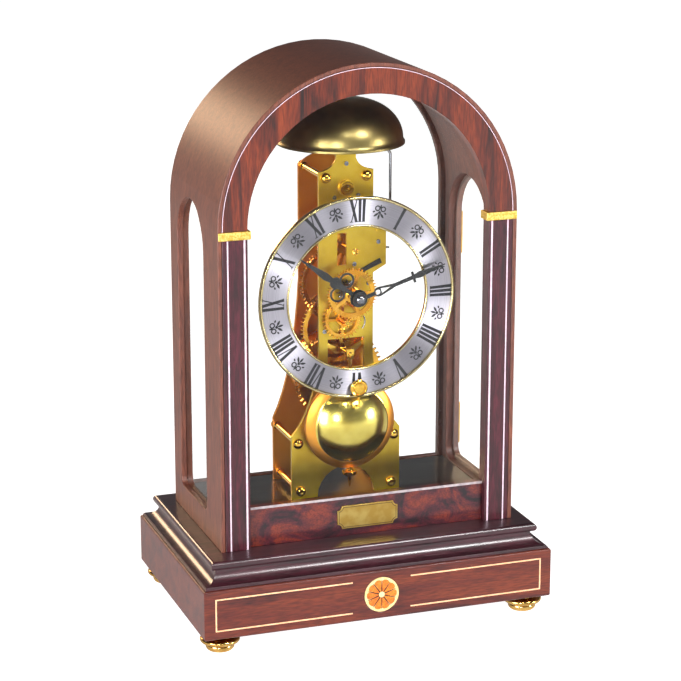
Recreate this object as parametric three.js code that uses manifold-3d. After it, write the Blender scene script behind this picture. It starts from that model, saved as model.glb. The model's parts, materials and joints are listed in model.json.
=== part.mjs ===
// An arch-top mantel clock: wooden case with glazed front, sides and rear door, and an open brass
// movement with a skeleton dial, front pendulum, single-strike bell hammer and rear winding.
// Millimetres. X runs to the right, the dial faces -Y, Z is up, and z = 0 is the surface it stands on.
import * as THREE from "three";
import { mergeVertices } from "three/addons/utils/BufferGeometryUtils.js";
import Module from "manifold-3d";

const wasm = await Module();
wasm.setup();

// ---------------------------------------------------------------- driving dimensions: the case
const BASE_WIDTH = 245;
const BASE_DEPTH = 160;
const BASE_HEIGHT = 34;
const BASE_RAIL = 20; // thickness of the hollow base's walls
const FOOT_HEIGHT = 12;
const FOOT_RADIUS = 13.5;
const FOOT_INSET = 14.5;
const COVE_HEIGHT = 10.5;
const COVE_LAND = 1.5; // step between the base's top edge and the cove
const PLATE_WIDTH = 230;
const PLATE_DEPTH = 145;
const PLATE_THICKNESS = 6;
const CASE_WIDTH = 206;
const CASE_DEPTH = 112;
const CASE_STRAIGHT = 214.5; // height of the straight sides, from the plate to the springing
const CASE_WALL = 9;
const RABBET_LIP = 2.7; // what the front and rear rabbets leave of the wall
const FRAME_DEPTH = 16; // thickness of the pilasters, the arch and the capitals
const FRAME_WIDTH = 17; // width of their faces
const CAPITAL_HEIGHT = 5.5;
const CAPITAL_PROUD = 1.2;
const CAPITAL_REACH = 2; // how far the capital stands past the pilaster's inner edge
const RAIL_HEIGHT = 27.5;
const RAIL_SETBACK = 4.5;
const GLASS = 2;
const GLASS_LAP = 4; // how far a pane laps behind its frame
const FRONT_LIP = 10; // frame thickness in front of the front pane
const FLOOR_THICKNESS = 14;
const WINDOW_WIDTH = 61.5;
const WINDOW_SETBACK = 33.5; // from the case's front to the window
const WINDOW_SILL = 17.5; // from the plate to the window
const WINDOW_RISE = 9.75; // from the springing to the window's apex
const WINDOW_CORNER = 6;
const WINDOW_LAP = 3;
const WINDOW_WALL = 4; // wall left outside the side panes
const DOOR_DEPTH = 8;
const DOOR_FRAME = 8.2;
const DOOR_GLASS_LIP = 5; // door thickness behind its pane
const DOOR_SILL = 13.4; // height of the door's bottom rail
const HINGE_HEIGHT = 30;
const HINGE_KNUCKLE = 2;
const HINGE_LEAF = 1.2;
const HINGE_PIN = 1;
const KNOB_RADIUS = 4.5;
const KNOB_LENGTH = 10;
const MEDALLION_RADIUS = 12;
const NAMEPLATE_WIDTH = 42.6;
const NAMEPLATE_HEIGHT = 16;
const VENEER = 0.9; // thickness of the medallion and the nameplate

// ---------------------------------------------------------------- driving dimensions: the movement
const MOVEMENT_SETBACK = 47; // from the case's front to the front plate
const MOVEMENT_PLATE = 2.2;
const PLATE_GAP = 42.8; // between the two plates
const CENTRE_HEIGHT = 158; // the hands' axis above the plate
const ANCHOR_RISE = 69.5; // the pendulum's axis above the hands' axis
const BARREL_DROP = 63; // the barrel's axis below the hands' axis
const TOWER_HALF = 19.3;
const FOOT_HALF = 39;
const LUG_HALF = 28.5;
const NECK_HALF = 7;
const PILLAR_RADIUS = 2.6;
const STUD_RADIUS = 1.3;
const NUT_RADIUS = 3.6;
const DIAL_RADIUS = 68.5;
const DIAL_OPENING = 48;
const DIAL_THICKNESS = 1.6;
const DIAL_STANDOFF = 21.4; // from the front plate to the dial's back
const DIAL_POST_RADIUS = 1.8;
const DIAL_POST_SPREAD = 16; // least angle between a lower post and straight down, in degrees
const MINUTE_HAND = 63;
const HOUR_HAND = 50;
const HAND_THICKNESS = 1;
const HAND_TIP = 0.25; // half width of a hand's tip
const MINUTE_ANGLE = 72; // degrees clockwise from twelve
const HOUR_ANGLE = 306;
const BOB_RADIUS = 32;
const BOB_DROP = 160.5; // from the pendulum's axis to the bob's centre
const PENDULUM_SETBACK = 7.5; // from the front plate's face to the rod's axis
const ROD_RADIUS = 1.4;
const ROSETTE_RADIUS = 6;
const STALK_RADIUS = 0.7;
const STALK_INSET = 8.5; // from the edge of the bob's dome to the rosette's stalk
const STALK_DROP = 5.5; // from the dial's lower edge to the stalk
const DOME_EDGE = 6.5; // width of the bob's rim outside its dome
const DOME_RISE = 10.5;
const BELL_RADIUS = 43;
const BELL_HEIGHT = 30;
const BELL_WALL = 2;
const BELL_RIM_RISE = 98; // bell's rim above the hands' axis
const BELL_SETBACK = 58.5; // from the case's front to the bell's axis
const BELL_POST_RADIUS = 2;
const HAMMER_WIRE = 1;

// Gears: [teeth of the wheel, leaves of the pinion, module]
const GREAT = { wheel: 56, pinion: 8, module: 1.1 };
const SECOND = { wheel: 56, pinion: 8, module: 0.88 };
const CENTRE = { wheel: 60, pinion: 6, module: 0.8 };
const THIRD = { wheel: 75, pinion: 6, module: 0.56 };
const MOTION_REACH = 19.8; // cannon pinion's axis to the minute wheel's
const CANNON = { wheel: 15, pinion: 30, module: (2 * MOTION_REACH) / 45 };
const HOUR = { wheel: 48, pinion: 8, module: (2 * MOTION_REACH) / 56 };
const ESCAPE_TEETH = 36;
const ESCAPE_RADIUS = 16;
const RATCHET_TEETH = 24;
const RATCHET_RADIUS = 10.5;
const WHEEL_THICKNESS = 1.4;
const MOTION_ANGLE = 260; // direction of the minute wheel's stud, degrees from +X towards +Z

// Clearances
const GAP = 0.3; // between pieces that are cut to each other
const BORE = 0.3; // radial clearance of a hole round its shaft
const BOB_PLAY = 4.6; // room round the bob at the dial's posts
const DOOR_PLAY = 0.6;
const OVERCUT = 2; // how far a cutting solid runs past the faces it cuts

// ---------------------------------------------------------------- places worked out from them
const Z_BASE = FOOT_HEIGHT + BASE_HEIGHT;
const Z_CASE = Z_BASE + COVE_HEIGHT + PLATE_THICKNESS;
const Z_SPRING = Z_CASE + CASE_STRAIGHT;
const Z_FLOOR = Z_CASE + FLOOR_THICKNESS;
const Y_FRONT = -CASE_DEPTH / 2;
const Y_REAR = CASE_DEPTH / 2;
const HALF = CASE_WIDTH / 2;
const INNER_HALF = HALF - CASE_WALL;
const RABBET_HALF = HALF - RABBET_LIP;
const FRAME_OUTER = RABBET_HALF - GAP;
const FRAME_INNER = FRAME_OUTER - FRAME_WIDTH;
const Y_FRAME_BACK = Y_FRONT + FRAME_DEPTH;
const Y_PANE = Y_FRONT + FRONT_LIP;
const Y_DOOR = Y_REAR - DOOR_DEPTH;
const DOOR_OUTER = RABBET_HALF - DOOR_PLAY;
const DOOR_INNER = DOOR_OUTER - DOOR_FRAME;
const HINGE_X = HALF + HINGE_LEAF + 0.3;
const HINGE_Y = Y_REAR + HINGE_LEAF + 0.3;
const Y_FP = Y_FRONT + MOVEMENT_SETBACK; // front face of the front plate
const Y_FP_BACK = Y_FP + MOVEMENT_PLATE;
const Y_BP = Y_FP_BACK + PLATE_GAP; // front face of the back plate
const Y_BP_BACK = Y_BP + MOVEMENT_PLATE;
const Z_CENTRE = Z_CASE + CENTRE_HEIGHT;
const Z_ANCHOR = Z_CENTRE + ANCHOR_RISE;
const Z_BARREL = Z_CENTRE - BARREL_DROP;
const Y_DIAL_BACK = Y_FP - DIAL_STANDOFF;
const Y_ROD = Y_FP - PENDULUM_SETBACK;
const Z_BOB = Z_ANCHOR - BOB_DROP;
const Y_BELL = Y_FRONT + BELL_SETBACK;
const Z_RIM = Z_CENTRE + BELL_RIM_RISE;

const AT_MEDALLION = { x: 0, z: FOOT_HEIGHT + BASE_HEIGHT / 2 };

// Gear centres: each pair's distance is its module times half its teeth.
const reach = (g) => (g.module * (g.wheel + g.pinion)) / 2;
// The point at distance a from p and b from q, to the side given by sign.
function meetingPoint(p, q, a, b, sign) {
  const d = Math.hypot(q.x - p.x, q.z - p.z);
  const along = (a * a - b * b + d * d) / (2 * d);
  const off = sign * Math.sqrt(a * a - along * along);
  const ux = (q.x - p.x) / d;
  const uz = (q.z - p.z) / d;
  return { x: p.x + along * ux - off * uz, z: p.z + along * uz + off * ux };
}
const AT_CENTRE = { x: 0, z: Z_CENTRE };
const AT_ANCHOR = { x: 0, z: Z_ANCHOR };
const AT_BARREL = { x: 0, z: Z_BARREL };
const PALLET_DROP = ESCAPE_RADIUS * 1.394; // anchor axis to escape axis for pallets over 7.5 teeth
const AT_ESCAPE = { x: 0, z: Z_ANCHOR - PALLET_DROP };
const AT_SECOND = meetingPoint(AT_BARREL, AT_CENTRE, reach(GREAT), reach(SECOND), 1);
const AT_THIRD = meetingPoint(AT_CENTRE, AT_ESCAPE, reach(CENTRE), reach(THIRD), -1);
const MOTION = THREE.MathUtils.degToRad(MOTION_ANGLE);
const AT_MINUTE = {
  x: AT_CENTRE.x + reach(CANNON) * Math.cos(MOTION),
  z: AT_CENTRE.z + reach(CANNON) * Math.sin(MOTION),
};

// Depths of the wheels, as distances behind the front plate's back face.
const Y_CRUTCH = Y_FP_BACK + 0.5;
const CRUTCH = 0.9;
const Y_ESCAPE = Y_FP_BACK + 5.8;
const Y_SECOND = Y_FP_BACK + 6.8;
const Y_GREAT = Y_FP_BACK + 11.8;
const Y_THIRD = Y_FP_BACK + 15.8;
const Y_CENTRE_WHEEL = Y_FP_BACK + 20.8;
const PINION_OVER = 1.3; // a pinion's face runs past its wheel's by this on each side
const BARREL_RADIUS = 27;
const BARREL_LENGTH = 24;

// ---------------------------------------------------------------- solids
function solid(geometry) {
  const bare = geometry.clone();
  bare.deleteAttribute("normal");
  bare.deleteAttribute("uv");
  const merged = mergeVertices(bare, 1e-4);
  const make = (tri) =>
    new wasm.Manifold(
      new wasm.Mesh({ numProp: 3, vertProperties: merged.attributes.position.array, triVerts: tri }),
    );
  const tri = new Uint32Array(merged.index.array);
  const made = make(tri);
  if (made.volume() > 0) return made;
  for (let i = 0; i < tri.length; i += 3) [tri[i + 1], tri[i + 2]] = [tri[i + 2], tri[i + 1]];
  return make(tri);
}
const join = (first, ...rest) => rest.reduce((sum, s) => sum.add(s), first);
const cut = (first, ...rest) => rest.reduce((left, s) => left.subtract(s), first);

function mesh(name, body, color, roughness, metalness) {
  const made = body.getMesh();
  const geometry = new THREE.BufferGeometry();
  geometry.setAttribute("position", new THREE.BufferAttribute(new Float32Array(made.vertProperties), 3));
  geometry.setIndex(new THREE.BufferAttribute(new Uint32Array(made.triVerts), 1));
  geometry.computeVertexNormals();
  const part = new THREE.Mesh(geometry, new THREE.MeshStandardMaterial({ color, roughness, metalness }));
  part.name = name;
  return part;
}

const WALNUT = [0x5a2c22, 0.35, 0];
const VENEERED = [0x8a4426, 0.3, 0];
const PURPLE = [0x4a2028, 0.35, 0];
const BRASS = [0xc8a03c, 0.2, 1];
const GOLD = [0xd9b850, 0.4, 1];
const STEEL = [0x6e6e72, 0.3, 1];
const SILVER = [0xc9c5d2, 0.45, 0.6];
const BLACK = [0x141414, 0.4, 0.3];
const CLEAR = [0xdfeef2, 0.05, 0];

// ---------------------------------------------------------------- shape helpers
function box(x0, x1, y0, y1, z0, z1) {
  const g = new THREE.BoxGeometry(x1 - x0, y1 - y0, z1 - z0);
  return solid(g.translate((x0 + x1) / 2, (y0 + y1) / 2, (z0 + z1) / 2));
}
// A shape drawn in X and Z, between the planes y0 and y1.
function slabY(shape, y0, y1, curveSegments = 12) {
  const g = new THREE.ExtrudeGeometry(shape, { depth: y1 - y0, bevelEnabled: false, curveSegments });
  return solid(g.rotateX(Math.PI / 2).translate(0, y1, 0));
}
// A shape drawn in Y and Z, between the planes x0 and x1.
function slabX(shape, x0, x1, curveSegments = 12) {
  const g = new THREE.ExtrudeGeometry(shape, { depth: x1 - x0, bevelEnabled: false, curveSegments });
  const turn = new THREE.Matrix4().makeBasis(
    new THREE.Vector3(0, 1, 0),
    new THREE.Vector3(0, 0, 1),
    new THREE.Vector3(1, 0, 0),
  );
  return solid(g.applyMatrix4(turn).translate(x0, 0, 0));
}
// A profile of [radius, height] turned about a vertical axis.
function turnedZ(profile, x, y, segments = 32) {
  const g = new THREE.LatheGeometry(profile.map(([r, h]) => new THREE.Vector2(r, h)), segments);
  return solid(g.rotateX(Math.PI / 2).translate(x, y, 0));
}
// A profile of [radius, y] turned about an axis that runs front to back.
function turnedY(profile, at, segments = 32) {
  const g = new THREE.LatheGeometry(profile.map(([r, h]) => new THREE.Vector2(r, h)), segments);
  return solid(g.translate(at.x, 0, at.z));
}
const rod = (r, y0, y1, at, segments = 12) =>
  turnedY([[0, y0], [r, y0], [r, y1], [0, y1]], at, segments);
const post = (r, z0, z1, x, y, segments = 12) =>
  turnedZ([[0, z0], [r, z0], [r, z1], [0, z1]], x, y, segments);
// A round wire along points, with mitred bends.
function wire(points, radius) {
  const at = points.map((p) => new THREE.Vector3(...p));
  const section = new THREE.Shape().absarc(0, 0, radius, 0, 2 * Math.PI);
  const pieces = at.slice(1).map((p, i) => {
    const line = new THREE.LineCurve3(at[i], p);
    const options = { steps: 1, extrudePath: line, curveSegments: 4, bevelEnabled: false };
    return solid(new THREE.ExtrudeGeometry(section, options));
  });
  const balls = at.slice(1, -1).map((p) => {
    const ball = new THREE.SphereGeometry(radius, 8, 4);
    return solid(ball.translate(p.x, p.y, p.z));
  });
  return join(...pieces, ...balls);
}
// An upright outline with a half-round top: half width w, from z0 to the springing, radius w.
function archShape(w, z0, segments = 36) {
  const s = new THREE.Shape();
  s.moveTo(-w, z0);
  s.lineTo(w, z0);
  for (let i = 0; i <= segments; i++) {
    const a = (Math.PI * i) / segments;
    s.lineTo(w * Math.cos(a), Z_SPRING + w * Math.sin(a));
  }
  s.closePath();
  return s;
}
// A block whose four sides follow one moulding profile of [outset, z], with mitred corners.
function moulding(halfX, halfY, profile) {
  const position = [];
  const index = [];
  profile.forEach(([out, z]) => {
    const x = halfX + out;
    const y = halfY + out;
    position.push(-x, -y, z, x, -y, z, x, y, z, -x, y, z);
  });
  for (let k = 0; k < profile.length - 1; k++) {
    for (let i = 0; i < 4; i++) {
      const a = 4 * k + i;
      const b = 4 * k + ((i + 1) % 4);
      index.push(a, b, b + 4, a, b + 4, a + 4);
    }
  }
  const top = 4 * (profile.length - 1);
  index.push(0, 2, 1, 0, 3, 2, top, top + 1, top + 2, top, top + 2, top + 3);
  const g = new THREE.BufferGeometry();
  g.setAttribute("position", new THREE.Float32BufferAttribute(position, 3));
  g.setIndex(index);
  return solid(g);
}
// Points on an arc of the Y-Z or X-Z plane, as [a, b] pairs.
function arc(cx, cy, r, from, to, steps) {
  return Array.from({ length: steps + 1 }, (_, i) => {
    const a = THREE.MathUtils.degToRad(from + ((to - from) * i) / steps);
    return [cx + r * Math.cos(a), cy + r * Math.sin(a)];
  });
}
// The point at a distance and a direction in degrees from a place in the X-Z plane.
function polar(at, r, degrees) {
  const a = THREE.MathUtils.degToRad(degrees);
  return [at.x + r * Math.cos(a), at.z + r * Math.sin(a)];
}
function polygon(points) {
  return new THREE.Shape(points.map(([a, b]) => new THREE.Vector2(a, b)));
}

// ---------------------------------------------------------------- gears
// One tooth profile for wheels, a slimmer and shorter one for pinions. `toward` is the direction, in
// degrees, that a tooth (wheel) or a gap (pinion) points to, so that a pair is in mesh at rest.
function gearOutline(teeth, module, pinion, toward, at) {
  const r = (module * teeth) / 2;
  const pitch = (2 * Math.PI) / teeth;
  const tip = r + module * (pinion ? 0.65 : 0.95);
  const root = r - module * (pinion ? 1.3 : 1.1);
  const half = pitch * (pinion ? 0.19 : 0.2);
  const tipHalf = half * (pinion ? 0.6 : 0.42);
  const start = THREE.MathUtils.degToRad(toward) + (pinion ? pitch / 2 : 0);
  const points = [];
  for (let i = 0; i < teeth; i++) {
    const a = start + i * pitch;
    const at4 = [
      [root, -half],
      [tip, -tipHalf],
      [tip, tipHalf],
      [root, half],
    ];
    at4.forEach(([q, da]) => points.push([at.x + q * Math.cos(a + da), at.z + q * Math.sin(a + da)]));
  }
  return points;
}
const direction = (from, to) => THREE.MathUtils.radToDeg(Math.atan2(to.z - from.z, to.x - from.x));
// Windows between the spokes of a wheel.
function crossings(shape, at, inner, outer, spokes, spokeHalf) {
  for (let i = 0; i < spokes; i++) {
    const mid = (360 / spokes) * (i + 0.5);
    const a = 180 / spokes - THREE.MathUtils.radToDeg(spokeHalf / outer);
    const b = 180 / spokes - THREE.MathUtils.radToDeg(spokeHalf / inner);
    const hole = [
      ...arc(at.x, at.z, outer, mid - a, mid + a, 4),
      ...arc(at.x, at.z, inner, mid + b, mid - b, 2),
    ];
    shape.holes.push(new THREE.Path(hole.map(([x, z]) => new THREE.Vector2(x, z))));
  }
  return shape;
}
function wheelBody(g, toward, at, y, spokes = 5) {
  const root = (g.module * g.wheel) / 2 - 1.1 * g.module;
  const shape = polygon(gearOutline(g.wheel, g.module, false, toward, at));
  crossings(shape, at, root * 0.3, root - 2.4, spokes, 1.1);
  return slabY(shape, y, y + WHEEL_THICKNESS);
}
function pinionBody(g, toward, at, y0, y1) {
  return slabY(polygon(gearOutline(g.pinion, g.module, true, toward, at)), y0, y1);
}
// An arbor between the plates: thin pivots in the plates' holes, a thicker body between.
function arbor(at, radius, pivot = 0.8) {
  const profile = [
    [0, Y_FP + GAP],
    [pivot, Y_FP + GAP],
    [pivot, Y_FP_BACK + 2],
    [radius, Y_FP_BACK + 2.4],
    [radius, Y_BP - GAP],
    [pivot, Y_BP - GAP],
    [pivot, Y_BP_BACK - GAP],
    [0, Y_BP_BACK - GAP],
  ];
  return turnedY(profile, at, 8);
}

// ---------------------------------------------------------------- the case
function baseBox() {
  const hx = BASE_WIDTH / 2;
  const hy = BASE_DEPTH / 2;
  const edge = 0.8;
  const block = moulding(hx, hy, [
    [-edge, FOOT_HEIGHT],
    [0, FOOT_HEIGHT + edge],
    [0, Z_BASE - edge],
    [-edge, Z_BASE],
  ]);
  const x = hx - BASE_RAIL;
  const y = hy - BASE_RAIL;
  const hollow = box(-x, x, -y, y, FOOT_HEIGHT - OVERCUT, Z_BASE - BASE_RAIL / 2);
  const pocket = rod(MEDALLION_RADIUS + GAP, -hy - OVERCUT, -hy + VENEER, AT_MEDALLION, 32);
  return cut(block, hollow, pocket);
}
function foot(sx, sy) {
  const r = FOOT_RADIUS;
  const h = FOOT_HEIGHT;
  const profile = [
    [0, 0],
    [r * 0.8, 0],
    [r * 0.86, h * 0.1],
    [r * 0.86, h * 0.2],
    [r * 0.78, h * 0.26],
    ...arc(r * 0.78, h * 0.5, r * 0.22, -80, 80, 4),
    [r * 0.62, h * 0.8],
    [r * 0.62, h],
    [0, h],
  ];
  return turnedZ(profile, sx * (BASE_WIDTH / 2 - FOOT_INSET), sy * (BASE_DEPTH / 2 - FOOT_INSET), 18);
}
function coveMoulding() {
  const z0 = Z_BASE;
  const z1 = Z_BASE + COVE_HEIGHT;
  const out = (BASE_WIDTH - PLATE_WIDTH) / 2 - COVE_LAND;
  const inset = -3.5;
  const steps = 8;
  const profile = [[out, z0], [out, z0 + 1.2]];
  for (let i = 0; i <= steps; i++) {
    const a = (Math.PI / 2) * (i / steps);
    const z = z0 + 2 + (z1 - z0 - 2.6) * (1 - Math.cos(a));
    profile.push([inset + (out - 1 - inset) * (1 - Math.sin(a)), z]);
  }
  profile.push([inset, z1]);
  return moulding(PLATE_WIDTH / 2, PLATE_DEPTH / 2, profile);
}
function basePlate() {
  const z0 = Z_CASE - PLATE_THICKNESS;
  const bead = arc(-PLATE_THICKNESS / 2, z0 + PLATE_THICKNESS / 2, PLATE_THICKNESS / 2, -90, 90, 8);
  return moulding(PLATE_WIDTH / 2, PLATE_DEPTH / 2, bead);
}
function windowShape(grow) {
  const y0 = Y_FRONT + WINDOW_SETBACK - grow;
  const y1 = y0 + WINDOW_WIDTH + 2 * grow;
  const z0 = Z_CASE + WINDOW_SILL - grow;
  const r = (y1 - y0) / 2;
  const spring = Z_SPRING + WINDOW_RISE + grow - r;
  const c = WINDOW_CORNER + grow;
  const points = [
    ...arc(y0 + c, z0 + c, c, 180, 270, 4),
    ...arc(y1 - c, z0 + c, c, 270, 360, 4),
    ...arc((y0 + y1) / 2, spring, r, 0, 180, 16),
  ];
  return polygon(points);
}
function caseShell() {
  const under = Z_CASE - OVERCUT;
  const outer = slabY(archShape(HALF, Z_CASE), Y_FRONT, Y_REAR);
  const hollow = slabY(archShape(INNER_HALF, under), Y_FRONT - OVERCUT, Y_REAR + OVERCUT);
  const frontRabbet = slabY(archShape(RABBET_HALF, under), Y_FRONT - OVERCUT, Y_FRAME_BACK);
  const rearRabbet = slabY(archShape(RABBET_HALF, under), Y_DOOR, Y_REAR + OVERCUT);
  const through = slabX(windowShape(0), -HALF - OVERCUT, HALF + OVERCUT);
  const rebate = slabX(windowShape(WINDOW_LAP), -(HALF - WINDOW_WALL), HALF - WINDOW_WALL);
  return cut(outer, hollow, frontRabbet, rearRabbet, through, rebate);
}
function sideGlass(side) {
  const outside = HALF - WINDOW_WALL;
  const shape = windowShape(WINDOW_LAP - GAP);
  const x = [side * (outside - GLASS), side * outside].sort((a, b) => a - b);
  return slabX(shape, x[0], x[1]);
}
function frontArch() {
  const ring = cut(
    slabY(archShape(FRAME_OUTER, Z_SPRING), Y_FRONT, Y_FRAME_BACK),
    slabY(archShape(FRAME_INNER, Z_SPRING - OVERCUT), Y_FRONT - OVERCUT, Y_FRAME_BACK + OVERCUT),
  );
  const lap = archShape(FRAME_INNER + GLASS_LAP, Z_SPRING - OVERCUT);
  return cut(ring, slabY(lap, Y_PANE, Y_FRAME_BACK + OVERCUT));
}
function pilaster(side) {
  const inner = FRAME_INNER;
  const full = side > 0
    ? box(inner, FRAME_OUTER, Y_FRONT, Y_FRAME_BACK, Z_CASE, Z_SPRING - CAPITAL_HEIGHT)
    : box(-FRAME_OUTER, -inner, Y_FRONT, Y_FRAME_BACK, Z_CASE, Z_SPRING - CAPITAL_HEIGHT);
  const lap = inner + GLASS_LAP;
  return cut(full, box(-lap, lap, Y_PANE, Y_FRAME_BACK + OVERCUT, Z_CASE - OVERCUT, Z_SPRING));
}
function capital(side) {
  const z0 = Z_SPRING - CAPITAL_HEIGHT;
  const inner = FRAME_INNER - CAPITAL_REACH;
  const sorted = (a, b) => (side > 0 ? [a, b] : [-b, -a]);
  const block = box(...sorted(inner, FRAME_OUTER), Y_FRONT - CAPITAL_PROUD, Y_FRAME_BACK, z0, Z_SPRING);
  const wrap = box(...sorted(FRAME_OUTER - 1, HALF - GAP), Y_FRONT - CAPITAL_PROUD, Y_FRONT, z0, Z_SPRING);
  const lap = FRAME_INNER + GLASS_LAP;
  const rebate = box(-lap, lap, Y_PANE, Y_FRAME_BACK + OVERCUT, z0 - OVERCUT, Z_SPRING + OVERCUT);
  return cut(join(block, wrap), rebate);
}
function frontRail() {
  const y0 = Y_FRONT + RAIL_SETBACK;
  const full = box(-FRAME_INNER, FRAME_INNER, y0, Y_FRAME_BACK, Z_CASE, Z_CASE + RAIL_HEIGHT);
  const z = Z_CASE + RAIL_HEIGHT - GLASS_LAP;
  return cut(full, box(-HALF, HALF, Y_PANE, Y_FRAME_BACK + OVERCUT, z, z + 2 * GLASS_LAP));
}
function frontGlass() {
  const z0 = Z_CASE + RAIL_HEIGHT - GLASS_LAP + GAP;
  return slabY(archShape(FRAME_INNER + GLASS_LAP - GAP, z0), Y_PANE, Y_PANE + GLASS);
}
function nameplate() {
  const w = NAMEPLATE_WIDTH / 2;
  const h = NAMEPLATE_HEIGHT / 2;
  const zc = Z_CASE + RAIL_HEIGHT / 2 - 0.5;
  const notch = 3.2;
  const points = [
    ...arc(-w, zc - h, notch, 90, 0, 4),
    ...arc(w, zc - h, notch, 180, 90, 4),
    ...arc(w, zc + h, notch, 270, 180, 4),
    ...arc(-w, zc + h, notch, 360, 270, 4),
  ];
  const y1 = Y_FRONT + RAIL_SETBACK;
  return slabY(polygon(points), y1 - VENEER, y1);
}
// A disc let in flush with the base's front.
function medallion() {
  const y = -BASE_DEPTH / 2;
  return rod(MEDALLION_RADIUS, y, y + VENEER, AT_MEDALLION, 32);
}
function caseFloor() {
  const x = INNER_HALF - GAP;
  return box(-x, x, Y_FRAME_BACK + GAP, Y_DOOR - GAP, Z_CASE, Z_FLOOR);
}

// ---------------------------------------------------------------- the rear door
function doorFrame() {
  const sill = Z_CASE + DOOR_PLAY + DOOR_SILL;
  const outer = slabY(archShape(DOOR_OUTER, Z_CASE + DOOR_PLAY), Y_DOOR, Y_REAR);
  const light = slabY(archShape(DOOR_INNER, sill), Y_DOOR - OVERCUT, Y_REAR + OVERCUT);
  const lap = archShape(DOOR_INNER + GLASS_LAP, sill - GLASS_LAP);
  return cut(outer, light, slabY(lap, Y_DOOR - OVERCUT, Y_REAR - DOOR_GLASS_LIP));
}
function doorGlass() {
  const sill = Z_CASE + DOOR_PLAY + DOOR_SILL;
  const y1 = Y_REAR - DOOR_GLASS_LIP;
  return slabY(archShape(DOOR_INNER + GLASS_LAP - GAP, sill - GLASS_LAP + GAP), y1 - GLASS, y1);
}
function doorKnob() {
  const r = KNOB_RADIUS;
  const y = Y_REAR;
  const profile = [
    [0, y],
    [r * 0.8, y],
    [r * 0.8, y + 1],
    [r * 0.45, y + 2],
    [r * 0.45, y + KNOB_LENGTH * 0.5],
    ...arc(r * 0.3, y + KNOB_LENGTH * 0.72, r * 0.7, -60, 70, 5),
    [0, y + KNOB_LENGTH],
  ];
  return turnedY(profile, { x: -(DOOR_OUTER - DOOR_FRAME / 2), z: Z_CENTRE - 50 }, 16);
}
const hingeBottom = (upper) => (upper ? Z_SPRING - HINGE_HEIGHT - 20 : Z_CASE + 25);
function hingeCaseLeaf(upper) {
  const z0 = hingeBottom(upper);
  const third = HINGE_HEIGHT / 3;
  const knuckles = [z0, z0 + 2 * third].map((z) =>
    join(
      post(HINGE_KNUCKLE, z, z + third, HINGE_X, HINGE_Y),
      box(HALF, HALF + HINGE_LEAF, Y_REAR - 6, HINGE_Y, z, z + third),
    ),
  );
  const leaf = box(HALF, HALF + HINGE_LEAF, Y_REAR - 16, Y_REAR - 5, z0, z0 + HINGE_HEIGHT);
  return join(leaf, ...knuckles, post(HINGE_PIN, z0, z0 + HINGE_HEIGHT, HINGE_X, HINGE_Y));
}
function hingeDoorLeaf(upper) {
  const third = HINGE_HEIGHT / 3;
  const z0 = hingeBottom(upper) + third + GAP;
  const z1 = z0 + third - 2 * GAP;
  const leaf = box(DOOR_INNER + 1.5, HINGE_X, Y_REAR, Y_REAR + HINGE_LEAF, z0, z1);
  const hole = post(HINGE_PIN + BORE, z0 - OVERCUT, z1 + OVERCUT, HINGE_X, HINGE_Y);
  return cut(join(leaf, post(HINGE_KNUCKLE, z0, z1, HINGE_X, HINGE_Y)), hole);
}

// ---------------------------------------------------------------- the movement's frame
const UPPER_PILLAR = { x: 14.3, z: Z_ANCHOR + 7.5 };
const SHOULDER_PILLAR = { x: FOOT_HALF - 4.5, z: Z_FLOOR + 39.5 };
const FOOT_PILLAR = { x: FOOT_HALF - 6.3, z: Z_FLOOR + 5.5 };
const HAMMER_AT = { x: 23.5, z: Z_CENTRE + 39 };
const HAMMER_STUD = 1.2;
const PILLARS = {
  upper: UPPER_PILLAR,
  shoulder: SHOULDER_PILLAR,
  foot: FOOT_PILLAR,
};
const mirrorX = (p, side) => ({ x: side * p.x, z: p.z });
function pillar(at) {
  const profile = [
    [0, Y_FP - 3],
    [NUT_RADIUS * 0.5, Y_FP - 2.8],
    [NUT_RADIUS * 0.88, Y_FP - 1.9],
    [NUT_RADIUS, Y_FP - 0.8],
    [NUT_RADIUS, Y_FP],
    [STUD_RADIUS, Y_FP],
    [STUD_RADIUS, Y_FP_BACK],
    [PILLAR_RADIUS, Y_FP_BACK],
    [PILLAR_RADIUS, Y_BP],
    [STUD_RADIUS, Y_BP],
    [STUD_RADIUS, Y_BP_BACK],
    [NUT_RADIUS, Y_BP_BACK],
    [NUT_RADIUS, Y_BP_BACK + 1.6],
    [0, Y_BP_BACK + 1.6],
  ];
  return turnedY(profile, at, 10);
}
function plateHoles(y0, y1) {
  const studs = Object.values(PILLARS).flatMap((p) =>
    [-1, 1].map((side) => rod(STUD_RADIUS + BORE, y0 - OVERCUT, y1 + OVERCUT, mirrorX(p, side))),
  );
  const pivots = [AT_SECOND, AT_THIRD, AT_ESCAPE].map((p) =>
    rod(0.8 + BORE, y0 - OVERCUT, y1 + OVERCUT, p, 10),
  );
  return [...studs, ...pivots];
}
// The lower posts stand clear of the bob's edge, seen from the front.
const DIAL_POST_CIRCLE = (DIAL_OPENING + DIAL_RADIUS) / 2;
function lowerPostSpread() {
  const drop = Z_CENTRE - Z_BOB;
  const clear = BOB_RADIUS + DIAL_POST_RADIUS + BOB_PLAY;
  const cosine = (DIAL_POST_CIRCLE ** 2 + drop ** 2 - clear ** 2) / (2 * DIAL_POST_CIRCLE * drop);
  return Math.max(DIAL_POST_SPREAD, THREE.MathUtils.radToDeg(Math.acos(Math.min(1, cosine))));
}
const DIAL_POSTS = {
  upper: 90,
  lower_left: 270 - lowerPostSpread(),
  lower_right: 270 + lowerPostSpread(),
};
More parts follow.
